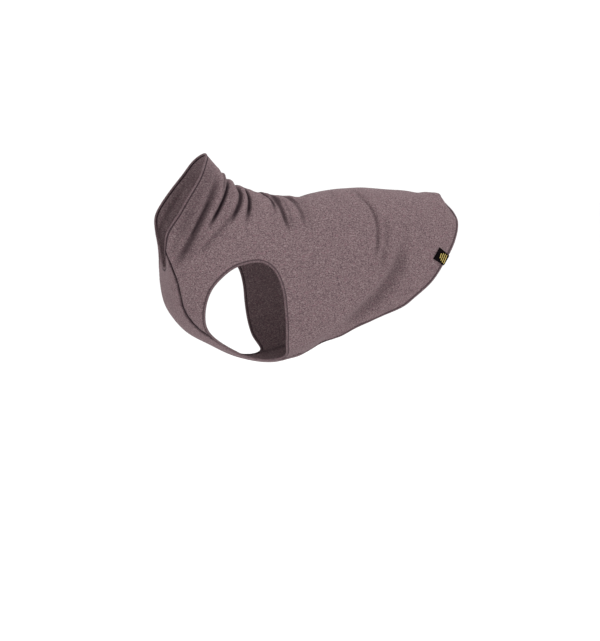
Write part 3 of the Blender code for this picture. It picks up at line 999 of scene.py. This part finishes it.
@dataclass(frozen=True)
class WovenRibbon:
    """Close satin-woven ribbon."""

    name: str
    colour: Colour
    worn: Colour
    roughness: float
    gloss: float
    thread: float = 0.00045
    bands: float = 0.32
    waviness: float = 0.6
    wave_detail: float = 1.0
    fuzz: Grain = Grain(900.0, 2.0)
    weave_share: float = 0.5
    fuzz_share: float = 0.4
    weave_strength: float = 0.5
    weave_height: float = 0.0002

    def build(self) -> bpy.types.Material:
        """Makes the material.

        Returns:
            The finished material.
        """
        sheet = ShaderSheet(self.name)
        place = sheet.place()
        wave = {
            "Vector": place,
            "Scale": self.bands / self.thread,
            "Distortion": self.waviness,
            "Detail": self.wave_detail,
        }
        weave = sheet.read("ShaderNodeTexWave", "Fac", {"bands_direction": "DIAGONAL"}, wave)
        wear = weave * self.weave_share + sheet.noise(place, self.fuzz) * self.fuzz_share
        sockets = {
            "Base Color": sheet.mixed(wear, opaque(self.colour), opaque(self.worn)),
            "Roughness": self.roughness,
            "Specular IOR Level": self.gloss,
            "Normal": sheet.bump(weave, self.weave_strength, self.weave_height),
        }
        sheet.feed(sheet.shader, sockets)
        return sheet.material


@dataclass(frozen=True)
class PaleFloor:
    """Plain matt studio floor."""

    name: str = "studio_floor"
    colour: Colour = (0.97, 0.97, 0.97)
    roughness: float = 0.9

    def build(self) -> bpy.types.Material:
        """Makes the material.

        Returns:
            The finished material.
        """
        sheet = ShaderSheet(self.name)
        sheet.feed(sheet.shader, {"Base Color": opaque(self.colour), "Roughness": self.roughness})
        return sheet.material


class Slot(Enum):
    """The record's material slots."""

    FLEECE = "fleece"
    HEM = "hem"
    TAB = "woven_tab"


# ---------------------------------------------------------------- the pieces


@dataclass
class Skin:
    """A mesh on its way: points in mm, faces, and a painted shade from 0 to 1 for each point."""

    points: Array
    faces: list[tuple[int, ...]]
    shade: Array

    @classmethod
    def joined(cls, parts: Sequence["Skin"]) -> "Skin":
        """One mesh out of several.

        Args:
            parts: The meshes.

        Returns:
            The mesh of them all.
        """
        faces, start = [], 0
        for part in parts:
            faces += [tuple(start + i for i in face) for face in part.faces]
            start += len(part.points)
        points = np.concatenate([part.points for part in parts])
        return cls(points, faces, np.concatenate([part.shade for part in parts]))


@dataclass
class Workshop:
    """Turns skins into pieces that ride on the frame."""

    form: WornForm
    sharp_angle: float = math.radians(60)

    def piece(
        self,
        name: str,
        skin: Skin,
        finish: bpy.types.Material,
        stands_for: Sequence[str] = (),
    ) -> bpy.types.Object:
        """Makes one piece.

        Args:
            name: The piece's name.
            skin: Its mesh.
            finish: Its material.
            stands_for: The frame's nodes that it replaces.

        Returns:
            The piece, in place and riding on the frame.
        """
        mesh = bpy.data.meshes.new(name)
        mesh.from_pydata(self.form.placed(skin.points).tolist(), [], skin.faces)
        mesh.materials.append(finish)
        # The shade attribute carries each point's painted shade.
        shade = mesh.attributes.new("shade", "FLOAT", "POINT")
        shade.data.foreach_set("value", np.clip(skin.shade, 0, 1).astype(np.float32))
        mesh.shade_smooth()
        mesh.set_sharp_from_angle(angle=self.sharp_angle)
        made = bpy.data.objects.new(name, mesh)
        bpy.context.scene.collection.objects.link(made)
        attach(made, ROOT_BODY)
        if stands_for:
            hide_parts(*stands_for)
        LOG.info("%s: %d triangles", name, sum(len(face) - 2 for face in skin.faces))
        return made


class Net(NamedTuple):
    """A staggered net of points: its spacing in mm, and the band round the creases that it fills.

    near and far are the distances from a crease at which the band starts and ends, counted in
    widths as CreaseField.effect counts them.
    """

    spacing: float
    near: float
    far: float


@dataclass
class Panel:
    """One cut piece of fleece, as a wall of cloth with its seam edges rolled in."""

    form: WornForm
    cut: Cut
    outline: Edge
    nets: tuple[Net, ...] = (Net(1.5, 0.0, 0.75), Net(2.5, 0.75, 1.9), Net(4.2, 1.9, math.inf))
    row_angle: float = math.radians(60)
    edge_clearance: float = 0.6
    seam_sink: float = 2.0
    seam_width: float = 2.4
    seam_shoulder: float = 0.6
    seam_shoulder_at: float = 4.8
    seam_shoulder_width: float = 2.2
    # Painted shade along the seam's groove, and a share of the painted shade on the inner face.
    seam_shade: float = 1.0
    seam_shade_width: float = 3.2
    inner_shade: float = 0.3
    same_point: float = 1e-6

    def inside(self, points: Array, outline: Array, clearance: float) -> Array:
        """Which points lie inside a closed outline and clear of it.

        Args:
            points: Flat points, in mm.
            outline: The outline's flat points in order.
            clearance: How far a point has to be from it, in mm.

        Returns:
            True for each point that does.
        """
        held = np.zeros(len(points), bool)
        clear = np.ones(len(points), bool)
        for start, end in zip(outline, np.roll(outline, -1, axis=0)):
            rise = end[1] - start[1] if end[1] != start[1] else 1.0
            crosses = (start[1] > points[:, 1]) != (end[1] > points[:, 1])
            border = start[0] + (points[:, 1] - start[1]) * (end[0] - start[0]) / rise
            held ^= crosses & (points[:, 0] < border)
            run = end - start
            t = np.clip((points - start) @ run / (run @ run), 0, 1)
            clear &= np.linalg.norm(points - start - t[:, None] * run, axis=1) > clearance
        return held & clear

    def places(self, flat: Array) -> Edge:
        """Flat points as places on the form."""
        return Edge(flat[:, 0], np.degrees(flat[:, 1] / self.cut.girth_radius))

    def net_points(self, outline: Array) -> Array:
        """Spreads points over the panel, close in the creases and wider between them.

        Args:
            outline: The panel's flat outline.

        Returns:
            The flat points inside it.
        """
        low, high = outline.min(0), outline.max(0)
        found = []
        for net in self.nets:
            stations = np.arange(low[0], high[0], net.spacing * math.sin(self.row_angle))
            across = np.arange(low[1], high[1], net.spacing)
            grid = np.stack(np.meshgrid(stations, across, indexing="ij"), -1)
            grid[1::2, :, 1] += net.spacing / 2
            grid = grid.reshape(-1, 2)
            edge = self.places(grid)
            plain = self.form.plain(edge.station, edge.turn)
            away = self.form.creases.effect(plain)[2]
            keep = (away >= net.near) & (away < net.far)
            grid = grid[keep]
            found.append(grid[self.inside(grid, outline, net.spacing * self.edge_clearance)])
        return np.concatenate(found)

    def seam_roll(self, edge: Edge) -> tuple[Array, Array]:
        """How the cloth rolls into the chest seams.

        Args:
            edge: Places on the panel.

        Returns:
            How far the cloth stands out there, in mm, and the painted shade of the seam's groove.
        """
        away = np.abs(self.cut.seam_distance(edge))
        roll = self.seam_shoulder * bell(away - self.seam_shoulder_at, self.seam_shoulder_width)
        roll -= self.seam_sink * bell(away, self.seam_width)
        return roll, self.seam_shade * band(away, self.seam_shade_width)

    def skin(self) -> Skin:
        """The panel's mesh.

        Returns:
            The mesh of both faces and the border between them.
        """
        rim_flat = self.cut.flat(self.outline)
        flat = np.concatenate([rim_flat, self.net_points(rim_flat)])
        count = len(rim_flat)
        rim = [(i, (i + 1) % count) for i in range(count)]
        result = delaunay_2d_cdt([tuple(p) for p in flat], rim, [], 1, self.same_point)
        edge = self.places(np.array([tuple(p) for p in result[0]]))
        triangles = [tuple(reversed(face)) for face in result[2]]
        roll, dark = self.seam_roll(Edge(edge.station, wrapped(edge.turn)))
        outer, inner = self.form.layers(edge, (roll, roll - self.form.wall))
        # Painted shade from the creases and the seam.
        shade = self.form.creases.effect(self.form.plain(edge.station, edge.turn))[1]
        shade = np.maximum(shade, dark)
        size = len(outer)
        faces = triangles + [tuple(size + i for i in reversed(face)) for face in triangles]
        sides = {(a, b) for face in triangles for a, b in zip(face, face[1:] + face[:1])}
        for a, b in sorted(sides):
            if (b, a) not in sides:
                faces.append((b, a, size + a, size + b))
        shades = np.concatenate([shade, self.inner_shade * shade])
        return Skin(np.concatenate([outer, inner]), faces, shades)


def wrapped(turn: Array) -> Array:
    """Turns from -180 to 180."""
    return (turn + 180) % 360 - 180


class HemPoint(NamedTuple):
    """A point of the hem's section: how far in from the edge, how far out, and its painted shade."""

    inset: float
    lift: float
    shade: float


# Painted shade in the groove behind the hem's crown, and lighter painted shade at its rolled edge.
HEM_OUTSIDE = (
    HemPoint(5.9, -0.35, 0.45),
    HemPoint(5.4, 0.10, 0.45),
    HemPoint(5.0, 0.00, 0.75),
    HemPoint(4.6, -0.35, 1.0),
    HemPoint(4.1, -0.50, 1.0),
    HemPoint(3.6, -0.35, 1.0),
    HemPoint(3.2, 0.05, 0.70),
    HemPoint(2.8, 0.45, 0.20),
    HemPoint(2.0, 0.70, 0.0),
    HemPoint(1.1, 0.55, 0.0),
    HemPoint(0.4, 0.02, 0.05),
    HemPoint(0.0, -1.0, 0.15),
)


def along_loop(points: Array, reach: Array, length: float, at: Array) -> Array:
    """Reads a closed loop at distances along it.

    Args:
        points: The loop's points.
        reach: How far along the loop each point is.
        length: The loop's whole length.
        at: The distances to read at.

    Returns:
        The points there.
    """
    closed = np.concatenate([points, points[:1]])
    keys = np.concatenate([reach, [length]])
    return np.stack([np.interp(at % length, keys, closed[:, i]) for i in range(3)], -1)


def band_faces(rings: int, around: int, closed: bool) -> list[tuple[int, ...]]:
    """Faces over rings of points, laid one after another.

    Args:
        rings: How many rings there are.
        around: How many points each ring has.
        closed: True when the last ring meets the first, and False when both ends are filled.

    Returns:
        The faces.
    """
    faces = []
    for i in range(rings if closed else rings - 1):
        here, ahead = i * around, (i + 1) % rings * around
        for j in range(around):
            beside = (j + 1) % around
            faces.append((here + j, here + beside, ahead + beside, ahead + j))
    if not closed:
        faces.append(tuple(reversed(range(around))))
        faces.append(tuple((rings - 1) * around + j for j in range(around)))
    return faces


@dataclass(frozen=True)
class StitchRow:
    """A row of short threads, which dip into the cloth at their ends. Lengths are in mm.

    shares says how far along a stitch each of its rings is, and depths how far the ring is sunk,
    both from 0 to 1.
    """

    length: float = 3.0
    gap: float = 0.9
    radius: float = 0.26
    sides: int = 6
    shares: tuple[float, ...] = (0.0, 0.12, 0.5, 0.88, 1.0)
    depths: tuple[float, ...] = (1.0, 0.35, 0.0, 0.35, 1.0)
    probe: float = 0.2

    def skin(self, centre: Array, sunk: Array) -> Skin:
        """Lays the row along a closed loop.

        Args:
            centre: The loop that the threads lie on, in mm.
            sunk: The same loop deeper in the cloth, where the threads end.

        Returns:
            One mesh of all the threads.
        """
        steps = np.linalg.norm(np.roll(centre, -1, axis=0) - centre, axis=1)
        reach, length = np.concatenate([[0], np.cumsum(steps)[:-1]]), steps.sum()
        count = round(length / (self.length + self.gap))
        at = (np.arange(count) * length / count)[:, None] + np.array(self.shares) * self.length
        high, low = (along_loop(loop, reach, length, at) for loop in (centre, sunk))
        middle = high + (low - high) * np.array(self.depths)[None, :, None]
        ahead, behind = (along_loop(centre, reach, length, at + step) for step in (self.probe, -self.probe))
        run = unit(ahead - behind)
        beside = unit(np.cross(run, unit(high - low)))
        up = np.cross(beside, run)
        angles = np.linspace(0, 2 * math.pi, self.sides, endpoint=False)
        ring = np.cos(angles)[:, None] * beside[:, :, None] + np.sin(angles)[:, None] * up[:, :, None]
        points = (middle[:, :, None] + self.radius * ring).reshape(-1, 3)
        return Skin(points, self.faces(count), np.zeros(len(points)))

    def faces(self, count: int) -> list[tuple[int, ...]]:
        """Faces of the threads.

        Args:
            count: How many threads there are.

        Returns:
            The faces of each thread's sides and ends.
        """
        faces, rings, sides = [], len(self.shares), self.sides
        for k in range(count):
            base = k * rings * sides
            for i in range(rings - 1):
                for j in range(sides):
                    a, b = base + i * sides + j, base + i * sides + (j + 1) % sides
                    faces.append((a, a + sides, b + sides, b))
            faces.append(tuple(base + j for j in range(sides)))
            faces.append(tuple(base + (rings - 1) * sides + j for j in reversed(range(sides))))
        return faces


@dataclass
class Hem:
    """A narrow turned hem along a closed edge, with its row of stitches.

    pucker is how far the stitches pull the hem up and down, and wander is a slower unevenness
    beside it, both in mm. groove_shade is the part of the section's painted shade that is kept past
    groove_from, which is the side of the crown away from the edge.
    """

    form: WornForm
    cut: Cut
    edge: Edge
    groove_shade: float = 0.6
    groove_from: float = 2.5
    seam_half_width: float = 3.2
    crown_inset: float = 2.4
    crown_width: float = 2.0
    pucker: float = 0.10
    pucker_length: float = 3.9
    wander: float = 0.12
    wander_quick: float = 0.37
    wander_slow: float = 0.11
    wander_phase: float = 1.0
    stitch_inset: float = 4.1
    stitch_lift: float = -0.26
    stitch_sink: float = 0.45
    stitching: StitchRow = StitchRow()

    def section(self) -> list[HemPoint]:
        """The hem's closed section.

        Returns:
            Its points, outside and then inside.
        """
        wall = self.form.wall
        inside = [HemPoint(p.inset, -wall - p.lift, p.shade) for p in reversed(HEM_OUTSIDE[:-1])]
        return [*HEM_OUTSIDE, *inside]

    def ripple(self) -> Array:
        """How the stitches pucker the hem.

        Returns:
            The pucker's height at each place along the hem, in mm.
        """
        reach = np.arange(len(self.edge))
        ripple = self.pucker * np.sin(2 * math.pi * reach / self.pucker_length)
        quick = np.sin(self.wander_quick * reach + self.wander_phase)
        return ripple + self.wander * quick * np.sin(self.wander_slow * reach)

    def skin(self) -> Skin:
        """The hem's mesh.

        Returns:
            The mesh of the closed band.
        """
        loops, shades = [], []
        ripple = self.ripple()
        for point in reversed(self.section()):
            moved = self.form.inset(self.edge, point.inset)
            side = 1 if point.lift > -self.form.wall / 2 else -1
            body = bell(np.array(point.inset - self.crown_inset), self.crown_width)
            loops.append(self.form.cloth(moved, point.lift + side * body * ripple))
            in_groove = point.inset > self.groove_from
            # The chest seams' painted shade runs on into the groove.
            seam = band(self.cut.seam_distance(moved), self.seam_half_width)
            shade = point.shade * (self.groove_shade if in_groove else 1.0)
            shades.append(np.maximum(shade, seam * in_groove))
        points = np.stack(loops, 1).reshape(-1, 3)
        return Skin(points, band_faces(len(self.edge), len(loops), True), np.stack(shades, 1).reshape(-1))

    def stitches(self) -> Skin:
        """The hem's row of stitches.

        Returns:
            One mesh of all the stitches.
        """
        line = self.form.inset(self.edge, self.stitch_inset)
        lifts = (self.stitch_lift, self.stitch_lift - self.stitch_sink)
        return self.stitching.skin(*self.form.layers(line, lifts))


@dataclass
class SeamAllowance:
    """The sewn-together edges behind a chest seam, pressed flat inside."""

    form: WornForm
    cut: Cut
    start: float
    end: float
    side: int
    half_width: float = 3.2
    sink: float = 2.15
    thick: float = 1.5
    step: float = 2.0
    around: int = 10
    # Painted shade on the allowance, which lies inside the seam.
    shade: float = 0.15

    def skin(self) -> Skin:
        """The allowance's mesh.

        Returns:
            The mesh of a flat band that closes the seam from inside.
        """
        count = round((self.end - self.start) / self.step)
        station = np.linspace(self.start, self.end, count)
        turn = self.cut.seam_turn(station)
        around = np.linalg.norm(self.form.slopes(self.form.plain, station, turn)[1], axis=-1)
        angles = np.linspace(0, 2 * math.pi, self.around, endpoint=False)
        loops = []
        for angle in angles[:: -self.side]:
            across = self.half_width * np.cos(angle) / around
            lift = -self.sink - self.thick / 2 * (1 - np.sin(angle))
            strip = Edge(station, self.side * (turn + across))
            loops.append(self.form.cloth(strip, np.full(count, lift)))
        points = np.stack(loops, 1).reshape(-1, 3)
        return Skin(points, band_faces(count, self.around, False), np.full(len(points), self.shade))


class WovenBar(NamedTuple):
    """A plain bar across the tab: where it starts and ends along it and how far it reaches."""

    start: float
    end: float
    reach: float


@dataclass
class Tab:
    """The woven tab on the left rear hem, with plain woven bars and a stitched end.

    Lengths are in mm. The bars are placed from the hem's edge, and the rows of stitches from the
    tab's inner end.
    """

    form: WornForm
    cut: Cut
    turn: float = 86.8
    length: float = 26.0
    width: float = 20.5
    thick: float = 0.9
    overhang: float = 0.5
    lift: float = 0.8
    steps: int = 22
    rim_step: float = 0.5
    soft_steps: float = 1.2
    woven_bars: tuple[WovenBar, ...] = (
        WovenBar(2.6, 4.0, 8.0),
        WovenBar(6.6, 8.0, 7.6),
        WovenBar(10.6, 12.0, 6.4),
        WovenBar(14.6, 16.0, 4.0),
    )
    bar_thick: float = 0.16
    bar_sink: float = 0.03
    bar_slant: float = 2.4
    bar_steps: int = 6
    stitch_rows: tuple[float, float] = (1.4, 3.0)
    stitch_first: float = 1.2
    stitch_last: float = 2.2
    stitch_pitch: float = 2.6
    stitch_length: float = 1.9
    stitch_width: float = 0.45
    stitch_thick: float = 0.3
    stitch_sink: float = 0.05
    stitch_steps: int = 3

    def places(self, along: Array, across: Array) -> Edge:
        """Places on the tab.

        Args:
            along: How far in they are from the hem's edge, in mm.
            across: How far they are from the tab's middle, in mm.

        Returns:
            The places on the form.
        """
        rim = self.cut.ring_edge(SKIRT_EDGE, self.turn + self.rim_step * np.array([1.0, 0.0, -1.0]))
        shape = np.broadcast(along, across).shape
        station, turn = np.zeros(shape), np.zeros(shape)
        along, across = np.broadcast_to(along, shape), np.broadcast_to(across, shape)
        for index in np.ndindex(shape):
            line = self.form.inset(rim, along[index])
            ends = self.form.plain(line.station[[0, 2]], line.turn[[0, 2]])
            share = across[index] / np.linalg.norm(ends[1] - ends[0])
            station[index] = line.station[1] + share * (line.station[2] - line.station[0])
            turn[index] = line.turn[1] + share * (line.turn[2] - line.turn[0])
        return Edge(station, turn)

    def plate(
        self,
        along: tuple[float, float],
        across: tuple[float, float],
        lift: float,
        thick: float,
        steps: int,
        slant: float = 0.0,
    ) -> Skin:
        """A thin plate that follows the cloth.

        Args:
            along: Its nearest and furthest place from the hem's edge.
            across: Its two sides.
            lift: How far its underside stands above the cloth.
            thick: Its thickness.
            steps: How many steps it has each way.
            slant: How far its sides lean along the tab.

        Returns:
            Its mesh.
        """
        shares = np.linspace(0, 1, steps + 1)
        u, v = np.meshgrid(shares, shares, indexing="ij")
        side = across[0] + (across[1] - across[0]) * v
        edge = self.places(along[0] + (along[1] - along[0]) * u + slant * (v - 0.5), side)
        rim = np.minimum.reduce([u, 1 - u, v, 1 - v])
        soft = (thick / 2 * (1 - ease(rim, 0, self.soft_steps / steps))).ravel()
        flat = Edge(edge.station.ravel(), edge.turn.ravel())
        low, high = self.form.layers(flat, (lift + soft / 2, lift + thick - soft))
        size, row = (steps + 1) ** 2, steps + 1
        faces = []
        for i in range(steps):
            for j in range(steps):
                a = i * row + j
                faces.append((a, a + row, a + row + 1, a + 1))
                faces.append((size + a, size + a + 1, size + a + row + 1, size + a + row))
        border = [*range(steps), *(i * row + steps for i in range(steps))]
        border += [*(size - 1 - j for j in range(steps)), *((steps - i) * row for i in range(steps))]
        for a, b in zip(border, border[1:] + border[:1]):
            faces.append((a, b, size + b, size + a))
        return Skin(np.concatenate([low, high]), faces, np.zeros(2 * size))

    def ribbon(self) -> Skin:
        """The black ribbon."""
        span, half = (-self.overhang, self.length - self.overhang), self.width / 2
        return self.plate(span, (-half, half), self.lift, self.thick, self.steps)

    def bars(self) -> Skin:
        """Plain woven bars across the ribbon.

        Returns:
            One mesh of all the bars.
        """
        lift = self.lift + self.thick - self.bar_sink
        plates = []
        for bar in self.woven_bars:
            span, reach = (bar.start, bar.end), (-bar.reach, bar.reach)
            plates.append(self.plate(span, reach, lift, self.bar_thick, self.bar_steps, self.bar_slant))
        return Skin.joined(plates)

    def end_stitches(self) -> Skin:
        """Two short rows of stitches that hold the tab's inner end.

        Returns:
            One mesh of all the stitches.
        """
        lift = self.lift + self.thick - self.stitch_sink
        half = self.width / 2
        plates = []
        for row in self.stitch_rows:
            near = self.length - self.overhang - row
            span = (near, near + self.stitch_width)
            for left in np.arange(-half + self.stitch_first, half - self.stitch_last, self.stitch_pitch):
                reach = (left, left + self.stitch_length)
                plates.append(self.plate(span, reach, lift, self.stitch_thick, self.stitch_steps))
        return Skin.joined(plates)


# ---------------------------------------------------------------- the garment and the studio


# The stations between which the chest seams run, ahead of the armholes and behind them
SEAM_SPANS = {"chest": (0.0, 150.0), "belly": (266.0, 336.0)}


@dataclass
class Jacket:
    """The whole garment."""

    form: WornForm = field(default_factory=WornForm)
    body_flat: tuple[float, float] = (0.69, 0.60)
    chest_flat: tuple[float, float] = (0.105, 0.38)

    def build(self) -> None:
        """Makes every piece."""
        cut = Cut(self.form)
        shop = Workshop(self.form)
        fleece = HeatherFleece("heather_fleece").build()
        # A darker copy of the fleece: painted shade on the turned hems and the seam allowances.
        hem_fleece = HeatherFleece(
            "hem_fleece", body=(0.132, 0.089, 0.096), light=(0.215, 0.160, 0.164)
        ).build()
        thread = SewingThread().build()
        black = WovenRibbon(
            "woven_black", (0.0015, 0.001, 0.0012), (0.005, 0.0035, 0.004), roughness=0.85, gloss=0.03
        ).build()
        gold = WovenRibbon(
            "woven_gold", (0.42, 0.30, 0.06), (0.60, 0.47, 0.14), roughness=0.5, gloss=0.4
        ).build()

        skin = Panel(self.form, cut, cut.body_outline()).skin()
        body = shop.piece("fleece_body", skin, fleece, ["body_panel"])
        skin = Panel(self.form, cut, cut.chest_outline()).skin()
        chest = shop.piece("fleece_chest", skin, fleece, ["chest_panel"])
        # Each hem's share of painted shade in its groove.
        edges_and_shades = {
            "neck_hem": (cut.neck(), 0.95),
            "armhole_hem_left": (cut.armhole(1), 0.55),
            "armhole_hem_right": (cut.armhole(-1), 0.55),
            "skirt_hem": (cut.skirt(), 0.65),
        }
        for node, (edge, groove_shade) in edges_and_shades.items():
            hem = Hem(self.form, cut, edge, groove_shade=groove_shade)
            shop.piece(f"turned_{node}", hem.skin(), hem_fleece, [node])
            shop.piece(f"stitches_{node}", hem.stitches(), thread)
        for place, (start, end) in SEAM_SPANS.items():
            for hand, side in (("left", 1), ("right", -1)):
                allowance = SeamAllowance(self.form, cut, start, end, side)
                name = f"seam_allowance_{place}_{hand}"
                shop.piece(name, allowance.skin(), hem_fleece)
        tab = Tab(self.form, cut)
        shop.piece("woven_tab", tab.ribbon(), black, ["tab"])
        shop.piece("tab_bars", tab.bars(), gold)
        shop.piece("tab_stitches", tab.end_stitches(), black)


@dataclass(frozen=True)
class SoftLight:
    """A large soft lamp that faces the garment."""

    name: str
    place: tuple[float, float, float]
    size: float
    power: float


@dataclass(frozen=True)
class Studio:
    """A pale floor, soft light and the camera."""

    target: tuple[float, float, float] = (0.0951, 0.0, -0.2270)
    azimuth: float = -22.0
    elevation: float = 5.0
    distance: float = 3.0
    image_width: float = 600.0
    focal_pixels: float = 1714.0
    sensor_width: float = 36.0
    floor_below: float = 0.63
    floor_size: float = 60.0
    sky: float = 1.06
    lights: tuple[SoftLight, ...] = (
        SoftLight("key_light", (1.5, -2.5, 1.5), 1.6, 18.0),
        SoftLight("fill_light", (-2.4, -1.6, 0.6), 2.2, 4.5),
        SoftLight("top_light", (0.3, 0.1, 2.6), 1.8, 20.0),
        SoftLight("back_light", (0.6, 2.6, 1.3), 2.4, 8.0),
    )

    def aim(self, made: bpy.types.Object, place: Vector) -> None:
        """Puts a lamp or the camera at a place, facing the garment."""
        made.location = place
        made.rotation_euler = (Vector(self.target) - place).to_track_quat("-Z", "Y").to_euler()

    def floor(self) -> None:
        """Lays the floor."""
        half, height = self.floor_size / 2, -self.floor_below
        corners = [(x * half, y * half, height) for x, y in ((-1, -1), (1, -1), (1, 1), (-1, 1))]
        mesh = bpy.data.meshes.new("floor")
        mesh.from_pydata(corners, [], [(0, 1, 2, 3)])
        mesh.materials.append(PaleFloor().build())
        made = bpy.data.objects.new("floor", mesh)
        bpy.context.scene.collection.objects.link(made)

    def lamps(self) -> None:
        """Hangs the lamps and lights the room."""
        for light in self.lights:
            lamp = bpy.data.lights.new(light.name, "AREA")
            lamp.shape = "DISK"
            lamp.size = light.size
            lamp.energy = light.power
            made = bpy.data.objects.new(light.name, lamp)
            bpy.context.scene.collection.objects.link(made)
            self.aim(made, Vector(light.place))
        world = bpy.data.worlds.new("soft_room")
        world.use_nodes = True
        background = world.node_tree.nodes["Background"]
        background.inputs["Color"].default_value = (1.0, 1.0, 1.0, 1.0)
        background.inputs["Strength"].default_value = self.sky
        bpy.context.scene.world = world

    def camera(self) -> None:
        """Sets up the camera at the photograph's angle."""
        made = bpy.data.objects.new("camera", bpy.data.cameras.new("camera"))
        made.data.sensor_width = self.sensor_width
        made.data.sensor_fit = "HORIZONTAL"
        made.data.lens = self.focal_pixels / self.image_width * self.sensor_width
        bpy.context.scene.collection.objects.link(made)
        azimuth, elevation = math.radians(self.azimuth), math.radians(self.elevation)
        back = Vector((
            math.sin(azimuth) * math.cos(elevation),
            -math.cos(azimuth) * math.cos(elevation),
            math.sin(elevation),
        ))
        self.aim(made, Vector(self.target) + back * self.distance)
        bpy.context.scene.camera = made

    def build(self) -> None:
        """Sets up the whole studio."""
        self.floor()
        self.lamps()
        self.camera()
        bpy.context.scene.view_settings.view_transform = "Standard"


def main() -> None:
    """Builds the studio and the jacket."""
    logging.basicConfig(level=logging.INFO, format="%(name)s: %(message)s")
    Studio().build()
    Jacket().build()


if __name__ == "__main__":
    main()
